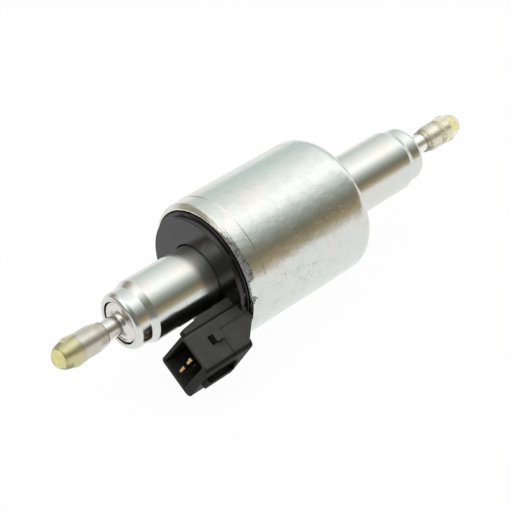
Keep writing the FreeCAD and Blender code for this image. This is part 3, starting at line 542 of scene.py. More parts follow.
@dataclass
class Profile:
    """The outline of a turned piece, in a plane through the axis, mirrored in X for a side of -1."""

    corners: Sequence[Corner]
    side: int = 1
    closed: bool = True
    step: float = math.radians(9.0)
    guard: float = 0.22

    def points(self) -> list[Vector]:
        """Rounds the corners and guards each straight stretch, so that it shades flat.

        Returns:
            The outline's points, as (x, radius).
        """
        places = [Vector((self.side * corner[0], corner[1])) for corner in self.corners]
        afters = places[1:] + places[:1]
        arcs = [
            self._arc(places[number - 1], places[number], afters[number], *corner[2:])
            for number, corner in enumerate(self.corners)
        ]
        found: list[Vector] = []
        for number, arc in enumerate(arcs):
            if number or self.closed:
                found += self._guards(arcs[number - 1][-1], arc[0])
            found += arc
        return found

    def _arc(self, before: Vector, corner: Vector, after: Vector, rounding: float = 0.0) -> list[Vector]:
        """Rounds one corner.

        Args:
            before: The place before the corner.
            corner: The corner.
            after: The place after it.
            rounding: The arc's radius.

        Returns:
            The arc's points, or the corner where there is no rounding.
        """
        if not rounding:
            return [corner]
        back = (before - corner).normalized()
        ahead = (after - corner).normalized()
        half = back.angle(ahead) / 2
        centre = corner + (back + ahead).normalized() * (rounding / math.sin(half))
        first = corner + back * (rounding / math.tan(half)) - centre
        last = corner + ahead * (rounding / math.tan(half)) - centre
        sweep = first.angle_signed(last)
        count = max(2, math.ceil(abs(sweep) / self.step))
        return [centre + Matrix.Rotation(-sweep * index / count, 2) @ first for index in range(count + 1)]

    def _guards(self, first: Vector, last: Vector) -> list[Vector]:
        """Adds a point near each end of a straight stretch, unless it is short."""
        share = self.guard / max((last - first).length, self.guard)
        return [first.lerp(last, share), first.lerp(last, 1 - share)] if share <= 0.25 else []

    def mesh(self, path_radius: float) -> Mesh:
        """Makes the outline a mesh of edges, for the turning graph.

        Args:
            path_radius: The radius of the circle that the outline follows, in millimetres.

        Returns:
            A mesh with the radius along X, from that circle, and the axis along Y.
        """
        places = [((point.y - path_radius) * MM, point.x * MM, 0.0) for point in self.points()]
        edges = [(index, index + 1) for index in range(len(places) - 1)]
        if self.closed:
            edges.append((len(places) - 1, 0))
        made = bpy.data.meshes.new("outline")
        made.from_pydata(places, edges, [])
        return made


class FormGraph(Graph):
    """A geometry graph with named inputs, ending in Realize Instances and Set Material."""

    KINDS = {int: "NodeSocketInt", float: "NodeSocketFloat", type(None): "NodeSocketMaterial"}

    def __init__(self, name: str, sizes: Sizes) -> None:
        """Makes the group and its inputs.

        Args:
            name: The group's name.
            sizes: Each input's default value, by its name.
        """
        super().__init__(bpy.data.node_groups.new(name, "GeometryNodeTree"))
        interface = self.tree.interface
        for way in ("INPUT", "OUTPUT"):
            interface.new_socket("Geometry", in_out=way, socket_type="NodeSocketGeometry")
        self.sockets: dict[str, str] = {}
        for label, value in {**sizes, "Material": None}.items():
            socket = interface.new_socket(label, in_out="INPUT", socket_type=self.KINDS[type(value)])
            if value is not None:
                socket.default_value = value
            self.sockets[label] = socket.identifier
        given = self.node("NodeGroupInput").outputs
        self.given = {output.name: Signal(self, output) for output in given}

    def vector(self, x: Number = 0.0, y: Number = 0.0, z: Number = 0.0) -> Node:
        """Joins three numbers or signals into a vector."""
        return self.node("ShaderNodeCombineXYZ", {0: x, 1: y, 2: z})

    def circle(self, steps: Any, radius: Any) -> Node:
        """Adds a round curve."""
        inputs = {"Resolution": steps, "Radius": radius}
        return self.node("GeometryNodeCurvePrimitiveCircle", inputs, mode="RADIUS")

    def swept(self, path: Any, section: Any, caps: bool = False) -> Node:
        """Sweeps a section along a path, with or without end caps."""
        return self.node("GeometryNodeCurveToMesh", {0: path, 1: section, "Fill Caps": caps})

    def swung(self, form: Any, angle: float) -> Node:
        """Turns a form about Y."""
        return self.node("GeometryNodeTransform", {"Geometry": form, "Rotation": (0.0, angle, 0.0)})

    def end(self, form: Any) -> None:
        """Realizes the instances, sets the material and ends the graph.

        Args:
            form: The finished form.
        """
        real = self.node("GeometryNodeRealizeInstances", {0: form})
        dressed = {"Geometry": real, "Material": self.given["Material"]}
        self.node("NodeGroupOutput", {0: self.node("GeometryNodeSetMaterial", dressed)})

    def run(self, sizes: Sizes, material: Material, base: Optional[Mesh] = None) -> Mesh:
        """Runs the graph.

        Args:
            sizes: The inputs' values, by name.
            material: The form's material.
            base: The mesh that goes in, if the graph needs one.

        Returns:
            The form's mesh.
        """
        values = {**sizes, "Material": material}
        inputs = {self.sockets[label]: value for label, value in values.items()}
        return modified(base or bpy.data.meshes.new("none"), "NODES", {"node_group": self.tree}, inputs)


class TurningGraph(FormGraph):
    """Turns an outline about the X axis."""

    PATH_RADIUS = 1.0

    def __init__(self) -> None:
        """Builds the graph."""
        super().__init__("turned_form", {"Segments": 128, "Merge": DOUBLES})
        outline = self.node("GeometryNodeMeshToCurve", {0: self.given["Geometry"]})
        circle = self.circle(self.given["Segments"], self.PATH_RADIUS * MM)
        laid = self.swung(self.swept(circle, outline), -QUARTER)
        self.end(self.node("GeometryNodeMergeByDistance", {0: laid, "Distance": self.given["Merge"]}))

    def turn(self, outline: Profile, material: Material, segments: int) -> Mesh:
        """Turns an outline in a number of steps round the axis."""
        return self.run({"Segments": segments}, material, outline.mesh(self.PATH_RADIUS))


@dataclass(frozen=True)
class Coil:
    """A coil about the X axis, by the middle of its wire. Its closing is how far the end turns close up."""

    start: float
    end: float
    mean_radius: float
    wire_radius: float
    turns: float
    closing: float = 0.8
    steps_per_turn: int = 64
    sides: int = 12

    def sizes(self) -> Sizes:
        """Names the sizes for the winding graph.

        Returns:
            The graph's inputs, with lengths in metres.
        """
        return {
            "Start": self.start * MM,
            "Length": (self.end - self.start) * MM,
            "Mean Radius": self.mean_radius * MM,
            "Wire Radius": self.wire_radius * MM,
            "Turns": self.turns,
            "Closing": self.closing,
            "Steps Per Turn": self.steps_per_turn,
            "Sides": self.sides,
        }


class CoilGraph(FormGraph):
    """Winds round wire about the X axis, with its end turns closed up."""

    def __init__(self) -> None:
        """Builds the graph, with a small spring's sizes as its defaults."""
        super().__init__("wound_wire", Coil(0.0, 10.0, 3.0, 0.3, 5.0).sizes())
        length, radius = self.given["Length"], self.given["Mean Radius"]
        spiral = self.node("GeometryNodeCurveSpiral", {
            "Resolution": self.given["Steps Per Turn"],
            "Rotations": self.given["Turns"],
            "Start Radius": radius,
            "End Radius": radius,
            "Height": length,
        })
        across, upwards, height = self.axes(self.node("GeometryNodeInputPosition"))
        part = height / length
        eased = part - self.maths("SINE", part * (2 * math.pi)) * self.given["Closing"] / (2 * math.pi)
        place = self.vector(self.given["Start"] + eased * length, across, upwards)
        laid = self.node("GeometryNodeSetPosition", {"Geometry": spiral, "Position": place})
        self.end(self.swept(laid, self.circle(self.given["Sides"], self.given["Wire Radius"]), True))


@dataclass(frozen=True)
class Weave:
    """A round wall about the X axis, woven of hoops and of wires that run along it."""

    start: float
    end: float
    radius: float
    wire_radius: float
    hoop_pitch: float = 0.45
    long_wires: int = 48

    def sizes(self) -> Sizes:
        """Names the sizes for the weaving graph.

        Returns:
            The graph's inputs, with lengths in metres.
        """
        return {
            "Start": self.start * MM,
            "Length": (self.end - self.start) * MM,
            "Radius": self.radius * MM,
            "Wire Radius": self.wire_radius * MM,
            "Hoops": round((self.end - self.start) / self.hoop_pitch),
            "Long Wires": self.long_wires,
        }


class WeaveGraph(FormGraph):
    """Weaves a round wall of hoops and long wires about the X axis."""

    WIRE_SIDES = 5

    def __init__(self) -> None:
        """Builds the graph, with a small cup's sizes as its defaults."""
        super().__init__("woven_wall", Weave(0.0, 10.0, 5.0, 0.1).sizes())
        start, length, radius = self.given["Start"], self.given["Length"], self.given["Radius"]
        section = self.circle(self.WIRE_SIDES, self.given["Wire Radius"])
        first = self.vector(start)
        places = self.node("GeometryNodeMeshLine", {
            "Count": self.given["Hoops"],
            "Start Location": first,
            "Offset": self.vector(length / (self.given["Hoops"] - 1.0)),
        })
        hoops = self.node("GeometryNodeInstanceOnPoints", {
            "Points": places,
            "Instance": self.swept(self.circle(self.given["Long Wires"], radius), section),
            "Rotation": (0.0, QUARTER, 0.0),
        })
        reach = self.vector(start + length)
        line = self.node("GeometryNodeCurvePrimitiveLine", {"Start": first, "End": reach})
        feet = self.node("GeometryNodeMeshCircle", {"Vertices": self.given["Long Wires"], "Radius": radius})
        strands = self.node("GeometryNodeInstanceOnPoints", {
            "Points": self.swung(feet, QUARTER),
            "Instance": self.swept(line, section, True),
        })
        joined = self.node("GeometryNodeJoinGeometry", {0: hoops})
        self.tree.links.new(strands.outputs[0], joined.inputs[0])
        self.end(joined)


@dataclass
class Workshop:
    """What every sub-assembly shares: the materials, the forming graphs and the bench work on meshes."""

    materials: dict[Look, Material] = field(
        default_factory=lambda: {look: look.value.build() for look in Look},
    )
    turning: TurningGraph = field(default_factory=TurningGraph)
    winding: CoilGraph = field(default_factory=CoilGraph)
    weaving: WeaveGraph = field(default_factory=WeaveGraph)

    def turned(self, outline: Profile, look: Look, segments: int, sharp_degrees: float = 32.0) -> Mesh:
        """Turns an outline and cleans the mesh."""
        return self.clean(self.turning.turn(outline, self.materials[look], segments), sharp_degrees)

    def wound(self, coil: Coil, look: Look) -> Mesh:
        """Winds a coil and cleans the mesh."""
        return self.clean(self.winding.run(coil.sizes(), self.materials[look]))

    def woven(self, wall: Weave, look: Look) -> Mesh:
        """Weaves a wall and cleans the mesh."""
        return self.clean(self.weaving.run(wall.sizes(), self.materials[look]))

    @staticmethod
    def clean(mesh: Mesh, sharp_degrees: float = 32.0, recalculate: bool = True) -> Mesh:
        """Merges doubles, points the faces outwards and smooths all but the sharp edges.

        Args:
            mesh: The mesh to clean, in place.
            sharp_degrees: The least angle of an edge that stays sharp.
            recalculate: Whether the faces need turning outwards.

        Returns:
            The same mesh.
        """
        work = bmesh.new()
        work.from_mesh(mesh)
        bmesh.ops.remove_doubles(work, verts=work.verts, dist=DOUBLES)
        bmesh.ops.dissolve_degenerate(work, edges=work.edges, dist=1e-7)
        if recalculate:
            bmesh.ops.recalc_face_normals(work, faces=work.faces)
        work.to_mesh(mesh)
        work.free()
        mesh.shade_smooth()
        mesh.set_sharp_from_angle(angle=math.radians(sharp_degrees))
        return mesh

    @staticmethod
    def joined(*parts: Mesh) -> Mesh:
        """Joins the meshes of one piece, which share their material.

        Args:
            parts: The meshes, of which the first takes in the others.

        Returns:
            The first mesh.
        """
        whole = bmesh.new()
        for part in parts:
            whole.from_mesh(part)
        whole.to_mesh(parts[0])
        whole.free()
        return parts[0]

    @staticmethod
    def place(
        name: str, mesh: Mesh, slot: str, node: str, body: Body = Body.HOUSING,
        reach: Optional[Span] = None,
    ) -> None:
        """Puts a finished mesh in the scene in place of its CAD node.

        Args:
            name: The piece's name.
            mesh: The finished mesh.
            slot: Not used.
            node: The CAD node that it stands for.
            body: The body that it rides on; a spring with a reach is not attached to it.
            reach: Where a spring's coils begin and end along the axis; when given, the mesh is only baked
                in place.
        """
        mesh.name = name
        piece = linked(name, mesh)
        if reach:
            first, last = ((x * MM, 0.0, 0.0) for x in reach)
            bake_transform(piece)
        else:
            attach(piece, body.value)
        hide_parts(node)
        LOG.info("%s: %d faces on %s", name, len(mesh.polygons), body.value)

    def dress(self, look: Look, *nodes: str) -> None:
        """Gives CAD nodes that stay their material.

        Args:
            look: The finish.
            nodes: The nodes' names.
        """
        for name in nodes:
            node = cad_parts[name]
            if not node.material_slots:
                node.data.materials.append(self.materials[look])
            for slot in node.material_slots:
                slot.material = self.materials[look]
            LOG.info("%s: dressed in %s", name, look.value.name)


@dataclass
class OuterCan:
    """The drawn can: rounded far shoulder, neck round the tube, and a crimped rim torn beside the socket.

    Angles are in degrees, and those of the cut count from the top towards the socket.
    """

    shop: Workshop
    segments: int = 288
    sharp: float = 34.0
    radius: float = 17.5
    wall: float = 1.2
    near_end: float = -22.0
    far_end: float = 18.2
    crimp_start: float = -17.2
    crimp_run: float = 0.2
    crimp_drop: float = 0.13
    crimp_rounding: float = 0.3
    shoulder: float = 4.0
    neck_end: float = 22.2
    neck_radius: float = 9.1
    neck_bore: float = 8.1
    neck_rounding: float = 0.8
    mouth_rounding: Span = (0.33, 0.2)
    lip_opening: float = 16.07
    lip_rounding: float = 0.1
    hook_end: float = -21.0
    bevel: float = 1.1
    bevel_foot: float = 16.3
    bevel_rounding: Span = (0.45, 0.9)
    rim_radius: float = 17.3
    rim_slope: float = 0.01
    rim_rows: tuple[float, ...] = (1.3, 1.45, 1.6, 1.75, 1.95, 2.15)
    plain_radius: float = 17.27
    plain_rise: float = 0.08
    plain_half_angle: float = 38.0
    plain_ragged: float = 0.9
    socket_angle: float = 211.3
    lip_depth: float = 0.6
    lip_width: float = 0.9
    wave: float = 0.06
    chip: float = 0.05
    # Where the sheared finish lies: the cut face and, over the rounding that faces the front, a painted
    # reflection of the darker front.
    sheared_least: float = 0.04
    sheared_reach: float = 1.5
    sheared_ragged: float = 0.12
    cut_rise: Span = (12.0, 42.0)
    cut_fall: Span = (64.0, 4.0)
    cut_loss: float = 0.76
    cut_end: float = 86.0
    torn_spot: float = 81.5
    torn_half: float = 2.6

    def build(self) -> None:
        """Turns the can, shapes its rim and dresses it."""
        bore = self.radius - self.wall
        outline = Profile([
            (self.crimp_start, self.radius, self.crimp_rounding),
            (self.far_end, self.radius, self.shoulder),
            (self.far_end, self.neck_radius, self.neck_rounding),
            (self.neck_end, self.neck_radius, self.mouth_rounding[0]),
            (self.neck_end, self.neck_bore, self.mouth_rounding[1]),
            (self.far_end - self.wall, self.neck_bore, self.neck_rounding),
            (self.far_end - self.wall, bore, self.shoulder - self.wall),
            (self.hook_end, bore),
            (self.hook_end, self.lip_opening),
            (self.near_end, self.lip_opening, self.lip_rounding),
            (self.near_end, self.bevel_foot, self.bevel_rounding[0]),
            (self.near_end + self.bevel, self.rim_radius, self.bevel_rounding[1]),
            *((self.near_end + row, self.rim_radius + self.rim_slope * row) for row in self.rim_rows),
            (self.crimp_start - self.crimp_run, self.radius - self.crimp_drop, self.crimp_rounding),
        ])
        mesh = self.shop.turning.turn(outline, self.shop.materials[Look.CAN], self.segments)
        self._shape_rim(mesh)
        self.shop.clean(mesh, self.sharp)
        self._mark_sheared_and_painted_reflection(mesh)
        self.shop.place("outer_can_shell", mesh, "can", "outer_can")

    def _shape_rim(self, mesh: Mesh) -> None:
        """Leaves the rim plain beside the socket and roughens the crimped lip.

        Args:
            mesh: The turned can, in place.
        """
        for vertex in mesh.vertices:
            x, radius, angle = polar(vertex.co)
            if x > self.crimp_start - 0.05:
                continue
            away = abs((angle - self.socket_angle + 180.0) % 360.0 - 180.0)
            ragged = noise.noise(Vector((angle * 0.9, x * 1.5, 3.0))) * self.plain_ragged
            if away < self.plain_half_angle + ragged:
                x, shaped = self._plain(x, radius)
            else:
                x, shaped = self._roughened(x, radius, angle)
            scale = shaped / radius
            vertex.co = (x * MM, vertex.co.y * scale, vertex.co.z * scale)

    def _sheared_and_reflection_share(self, angle: float) -> float:
        """Tells how wide the sheared finish reaches over the rim at an angle: the cut face, and on the
        rounding that faces the front, a painted reflection of the darker front.

        Args:
            angle: The angle round the axis, with the top at 90.

        Returns:
            0 at the top, rising to 1 towards the socket, and 0 again just before it.
        """
        turn = (angle - 90.0) % 360.0
        if turn > self.cut_end:
            return 0.0
        share = ramp(turn, *self.cut_rise)
        kept = 1.0 - self.cut_loss * ramp(turn, *self.cut_fall)
        torn = 1.0 - abs(turn - self.torn_spot) / self.torn_half
        return max(share * share * (3.0 - 2.0 * share) * kept, torn)

    def _plain(self, x: float, radius: float) -> Span:
        """Unrolls a point of the crimped rim into the plain rim.

        Args:
            x: The point's place along the axis.
            radius: The point's distance from the axis.

        Returns:
            Its new place and distance.
        """
        bore = self.radius - self.wall
        if radius <= bore + 0.01:
            return x, bore
        if x < self.near_end + self.bevel:
            back = max(0.0, x - self.near_end) / self.bevel
            pulled = (self.rim_radius - radius) * 0.4 * (1.0 - back)
            return self.near_end + back * back * self.bevel, self.plain_radius - pulled
        share = (self.crimp_start - x) / (self.crimp_start - self.near_end)
        return x, radius + self.plain_rise * (1.0 - share) - (self.rim_radius - self.plain_radius) * share

    def _roughened(self, x: float, radius: float, angle: float) -> Span:
        """Moves a point of the lip as a shear leaves it.

        Args:
            x: The point's place along the axis.
            radius: The point's distance from the axis.
            angle: Its angle round the axis.

        Returns:
            Its new place and distance.
        """
        if x > self.near_end + self.lip_depth:
            return x, radius
        turn = math.radians(angle)
        spot = Vector((math.cos(turn) * 9, math.sin(turn) * 9, radius))
        wave = noise.noise(spot * 0.9) * self.wave
        chip = noise.noise(spot * 4.0) * self.chip
        inner = max(0.0, 1.0 - (radius - self.lip_opening) / self.lip_width)
        return max(self.near_end, x + abs(wave) + abs(chip)), radius + (wave + chip) * inner * 0.8

    def _mark_sheared_and_painted_reflection(self, mesh: Mesh) -> None:
        """Gives the cut face of the rim its rough finish, and the front-facing rounding its painted
        reflection of the darker front.

        Args:
            mesh: The shaped can, in place.
        """
        mesh.materials.append(self.shop.materials[Look.SHEARED_AND_PAINTED_REFLECTION])
        for face in mesh.polygons:
            x, radius, angle = polar(face.center)
            ragged = noise.noise(Vector((angle * 0.5, 7.0, x * 2.0))) * self.sheared_ragged
            share = self._sheared_and_reflection_share(angle)
            reach = self.near_end + self.sheared_least + (self.sheared_reach + ragged) * share
            if share > 0.0 and x < reach and radius < self.radius:
                face.material_index = 1


@dataclass
class CentreTube:
    """The two steel lengths of the centre tube, with stepped and rolled ends."""

    shop: Workshop
    segments: int = 192
    radius: float = 7.9
    bore: float = 6.6
    end: float = 47.45
    step_start: float = 41.7
    step_end: float = 43.4
    step_rounding: float = 0.6
    bore_rounding: float = 1.6
    tip_radius: float = 7.05
    tip_bore: float = 5.75
    roll_length: float = 1.25
    roll_shoulder: Span = (0.35, 0.45)
    bead: float = 0.08
    crease: float = 5.9
    crease_depth: float = 0.12
    crease_width: float = 0.10
    lip_back: float = 0.02
    lip_bore: float = 5.35
    lip_length: Span = (1.2, 1.5)
    joint: float = 3.0
    spigot_length: float = 1.5
    spigot_radius: float = 7.27

    def build(self) -> None:
        """Turns and places both lengths."""
        spigot = self.joint + self.spigot_length
        lip = self.end - self.lip_back
        corners = [
            (self.joint, self.radius, 0.2),
            (self.step_start, self.radius, self.step_rounding),
            (self.step_end, self.tip_radius, self.step_rounding),
            (self.end - self.roll_length, self.tip_radius, 0.8),
            (self.end - self.roll_shoulder[0], self.tip_radius - self.roll_shoulder[1], 0.5),
            (self.end, self.crease + self.bead, 0.2),
            (self.end - self.crease_depth, self.crease, 0.05),
            (lip, self.crease - self.crease_width, 0.1),
            (lip, self.lip_bore, 0.2),
            (self.end - self.lip_length[0], self.lip_bore, 0.1),
            (self.end - self.lip_length[1], self.tip_bore),
            (self.step_end, self.tip_bore, self.bore_rounding),
            (self.step_start, self.bore, self.bore_rounding),
            (spigot, self.bore),
            (spigot, self.spigot_radius),
            (self.joint, self.spigot_radius),
        ]
        for end in End:
            node = end.name.lower() + "_tube"
            mesh = self.shop.turned(Profile(corners, end.value), Look.TUBE, self.segments)
            self.shop.place(node + "_skin", mesh, "tube", node)
        self.shop.dress(Look.BRASS, "spacer_ring")


@dataclass
class HoseNozzle:
    """A turned hose nozzle: grooved base disc, rimmed hub, neck with a fillet, bulb and cone."""

    shop: Workshop
    end: End
    segments: int = 128
    sharp: float = 30.0
    bore: float = 1.25
    base_back: float = 39.2
    base_front: float = 41.7
    base_radius: float = 6.55
    base_chamfer: float = 0.4
    groove_radius: float = 5.45
    groove_half: float = 0.7
    hub_radius: float = 5.0
    hub_face: float = 46.75
    rim: float = 0.25
    rim_width: Span = (0.35, 0.6)
    rim_rounding: float = 0.11
    neck: float = 2.45
    neck_fillet: float = 1.5
    bulb: float = 2.6
    bulb_start: float = 53.6
    bulb_rise: float = 1.0
    bulb_end: float = 58.9
    tip: float = 63.5
    tip_radius: float = 2.0
    tip_rounding: float = 0.35

    def build(self) -> None:
        """Turns and places the nozzle."""
        middle = (self.base_back + self.base_front) / 2
        front = self.hub_face + self.rim
        outline = Profile([
            (self.base_back, self.bore),
            (self.base_back, self.base_radius),
            (middle - self.groove_half, self.base_radius),
            (middle - self.groove_half, self.groove_radius),
            (middle + self.groove_half, self.groove_radius),
            (middle + self.groove_half, self.base_radius),
            (self.base_front - self.base_chamfer, self.base_radius),
            (self.base_front, self.hub_radius),
            (front, self.hub_radius, self.rim_rounding),
            (front, self.hub_radius - self.rim_width[0], self.rim_rounding),
            (self.hub_face, self.hub_radius - self.rim_width[1], 0.1),
            (self.hub_face, self.neck, self.neck_fillet),
            (self.bulb_start, self.neck, self.bulb_rise),
            (self.bulb_start + self.bulb_rise, self.bulb, self.bulb_rise),
            (self.bulb_end, self.bulb, self.tip_rounding),
            (self.tip, self.tip_radius, self.tip_rounding),
            (self.tip, self.bore, 0.15),
        ], self.end.value)
        name = self.end.name.lower() + "_nozzle"
        mesh = self.shop.turned(outline, Look[name.upper()], self.segments, self.sharp)
        self.shop.place(name + "_turned", mesh, "nozzle", name)
        self.shop.dress(Look.RUBBER, name + "_seal")


@dataclass
class TransportCap:
    """A clear push-on cap: thin rim, sleeve, bulge and dome, its bore a push fit on the nozzle's bulb."""

    shop: Workshop
    end: End
    tip: float
    segments: int = 96
    sharp: float = 50.0
    length: float = 13.6
    rim_radius: float = 2.8
    rim_taper: float = 2.3
    rim_rounding: Span = (0.06, 0.05)
    sleeve_radius: float = 3.35
    sleeve_rounding: float = 4.0
    bulge_radius: float = 3.68
    bulge_rounding: float = 2.0
    bulge_from_tip: float = 4.6
    waist_from_tip: float = 7.6
    dome_rounding: float = 2.97
    dome_corner: float = 2.26
    end_wall: float = 1.95
    push_fit: float = 0.008
    tip_push_fit: float = 0.01

    def build(self) -> None:
        """Turns and places the cap."""
        bore = HoseNozzle.bulb - self.push_fit
        tip_bore = HoseNozzle.tip_radius - self.tip_push_fit
        rim = self.tip - self.length
        floor = self.tip - self.end_wall
        outline = Profile([
            (self.tip, 0.0),
            (self.tip, self.dome_corner, self.dome_rounding),
            (self.tip - self.bulge_from_tip, self.bulge_radius, self.bulge_rounding),
            (self.tip - self.waist_from_tip, self.sleeve_radius, self.sleeve_rounding),
            (rim + self.rim_taper, self.sleeve_radius, self.sleeve_rounding),
            (rim, self.rim_radius, self.rim_rounding[0]),
            (rim, bore, self.rim_rounding[1]),
            (HoseNozzle.bulb_end, bore, 0.3),
            (HoseNozzle.tip, tip_bore),
            (floor, tip_bore, 0.1),
            (floor, 0.0),
        ], self.end.value, closed=False)
        name = self.end.name.lower() + "_cap"
        mesh = self.shop.turned(outline, Look[name.upper()], self.segments, self.sharp)
        self.shop.place(name + "_clear", mesh, "cap", name, Body[name.upper()])


@dataclass
class PlugSocket:
    """The black moulding of end flange and plug socket, with its brass blades."""

    shop: Workshop
    edge: float = 0.14
    blade_edge: float = 0.06
    edge_shape: float = 0.6
    glossy_radius: float = 15.9
    glossy_start: float = -23.95
    top_normal: Place = (0.0, -0.52, 0.854)
    top_likeness: float = 0.93

    def build(self) -> None:
        """Eases the moulded edges and dresses the socket and blades. The up-facing faces take a lighter
        grained copy that paints the light on the top.
        """
        mesh = self._eased("connector_moulding", self.edge)
        for look in (Look.SOCKET, Look.FLANGE, Look.GRAINED):
            mesh.materials.append(self.shop.materials[look])
        # Painted light: faces that face up take the lighter grained copy, as the lit top.
        for face in mesh.polygons:
            x, radius, _ = polar(face.center)
            if x > self.glossy_start and radius < self.glossy_radius:
                face.material_index = 1
            elif face.normal.dot(Vector(self.top_normal)) > self.top_likeness:
                face.material_index = 2
        self.shop.place("plug_socket_moulding", mesh, "black_plastic", "connector_moulding")
        for node in ("terminal_upper", "terminal_lower"):
            blade = self._eased(node, self.blade_edge)
            blade.materials.append(self.shop.materials[Look.BLADE])
            self.shop.place(node + "_blade", blade, "terminal", node)

    def _eased(self, node: str, width: float) -> Mesh:
        """Copies a CAD node's mesh, joins its flat facets and rounds its edges.

        Args:
            node: The CAD node.
            width: The rounding's width.

        Returns:
            The eased mesh, with no materials and with normals that let large faces shade flat.
        """
        work = bmesh.new()
        work.from_mesh(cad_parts[node].data)
        bmesh.ops.remove_doubles(work, verts=work.verts, dist=1e-6)
        bmesh.ops.dissolve_limit(work, angle_limit=math.radians(0.5), verts=work.verts, edges=work.edges)
        least = math.radians(28)
        inner = [edge for edge in work.edges if len(edge.link_faces) == 2]
        sharp = [edge for edge in inner if edge.calc_face_angle(0.0) > least]
        bmesh.ops.bevel(
            work, geom=sharp, offset=width * MM, offset_type="OFFSET", segments=2, profile=self.edge_shape,
            affect="EDGES", clamp_overlap=True,
        )
        bmesh.ops.triangulate(work, faces=[face for face in work.faces if len(face.verts) > 4])
        made = bpy.data.meshes.new(node)
        work.to_mesh(made)
        work.free()
        self.shop.clean(made, 40.0, recalculate=False)
        return modified(made, "WEIGHTED_NORMAL", {"keep_sharp": True}, {})


@dataclass
class Solenoid:
    """The coil on its bobbin between the yoke washers."""

    shop: Workshop
    start: float = -14.75
    end: float = 12.8
    core_radius: float = 9.17
    winding_radius: float = 14.7
    wire: float = 0.22
    wire_fit: float = 0.98
    segments: int = 96
    steps_per_turn: int = 72
    wire_sides: int = 6

    def build(self) -> None:
        """Winds the coil's outer layer over its packed core and dresses the rest."""
        middle = self.winding_radius - self.wire
        corners = [
            (self.start, self.core_radius),
            (self.end, self.core_radius),
            (self.end, middle),
            (self.start, middle),
        ]
        turns = (self.end - self.start - 2 * self.wire) / (2 * self.wire)
        layer = Coil(
            self.start + self.wire, self.end - self.wire, middle, self.wire * self.wire_fit, turns,
            closing=0.0, steps_per_turn=self.steps_per_turn, sides=self.wire_sides,
        )
        core = self.shop.turned(Profile(corners), Look.COPPER, self.segments)
        mesh = self.shop.joined(core, self.shop.wound(layer, Look.COPPER))
        self.shop.place("coil_winding_turns", mesh, "winding", "coil_winding")
        self.shop.dress(Look.BOBBIN, "coil_bobbin")
        self.shop.dress(Look.YOKE, "front_yoke_washer", "rear_yoke_washer")
        self.shop.dress(Look.RUBBER, "flange_seal")


@dataclass
class PumpWorks:
    """The plunger, metering cylinder, valve and strainer inside the centre tube."""

    shop: Workshop
    return_spring: Coil = Coil(-5.95, 4.6, 3.3, 0.35, 5.0)
    valve_spring: Coil = Coil(-35.75, -31.55, 1.1, 0.15, 4.0)
    strainer_closed: float = 26.2
    strainer_rim: float = 38.2
    strainer_back: float = 39.2
    strainer_radius: float = 4.8
    strainer_rim_radius: float = 5.58
    strainer_wall: float = 0.2
    strainer_wire: float = 0.09
    weave_start: float = 0.3
    weave_depth: float = 0.12
    floor_thickness: float = 0.4
    floor_skirt: float = 0.9
    segments: int = 64

    def build(self) -> None:
        """Winds the springs, weaves the strainer and dresses the rest."""
        self._spring("return_spring", self.return_spring, Body.PLUNGER)
        self._spring("delivery_valve_spring", self.valve_spring, Body.BALL)
        self._strainer()
        self.shop.dress(Look.CORE, "armature", "pole_piece")
        self.shop.dress(Look.GROUND, "piston", "pump_cylinder", "stop_sleeve")
        self.shop.dress(Look.GROUND, "valve_cage", "delivery_valve_seat", "delivery_valve_ball")
        self.shop.dress(Look.RUBBER, "damping_washer", "stop_bumper", "cylinder_seal")

    def _spring(self, node: str, coil: Coil, mover: Body) -> None:
        """Winds a spring between the housing and the body that presses it."""
        reach = (coil.start + 2.0 * coil.wire_radius, coil.end - 2.0 * coil.wire_radius)
        self.shop.place(node + "_wire", self.shop.wound(coil, Look.WIRE), "spring", node, mover, reach)

    def _strainer(self) -> None:
        """Builds the strainer of woven wall, closed end and rim."""
        inner = self.strainer_radius - self.strainer_wall
        floor = self.strainer_closed + self.floor_thickness
        skirt = self.strainer_closed + self.floor_skirt
        end = Profile([
            (self.strainer_closed, 0.0),
            (self.strainer_closed, self.strainer_radius, 0.5),
            (skirt, self.strainer_radius),
            (skirt, inner),
            (floor, inner, 0.2),
            (floor, 0.0),
        ], closed=False)
        rim = Profile([
            (self.strainer_rim - self.floor_thickness, inner),
            (self.strainer_rim - self.floor_thickness, self.strainer_radius),
            (self.strainer_rim, self.strainer_radius),
            (self.strainer_rim, self.strainer_rim_radius, 0.15),
            (self.strainer_back, self.strainer_rim_radius, 0.15),
            (self.strainer_back, inner),
        ])
        start, radius = self.strainer_closed + self.weave_start, self.strainer_radius - self.weave_depth
        wall = self.shop.woven(Weave(start, self.strainer_rim, radius, self.strainer_wire), Look.MESH)
        ends = [self.shop.turned(outline, Look.MESH, self.segments) for outline in (end, rim)]
        self.shop.place("inlet_strainer_weave", self.shop.joined(wall, *ends), "strainer", "inlet_strainer")


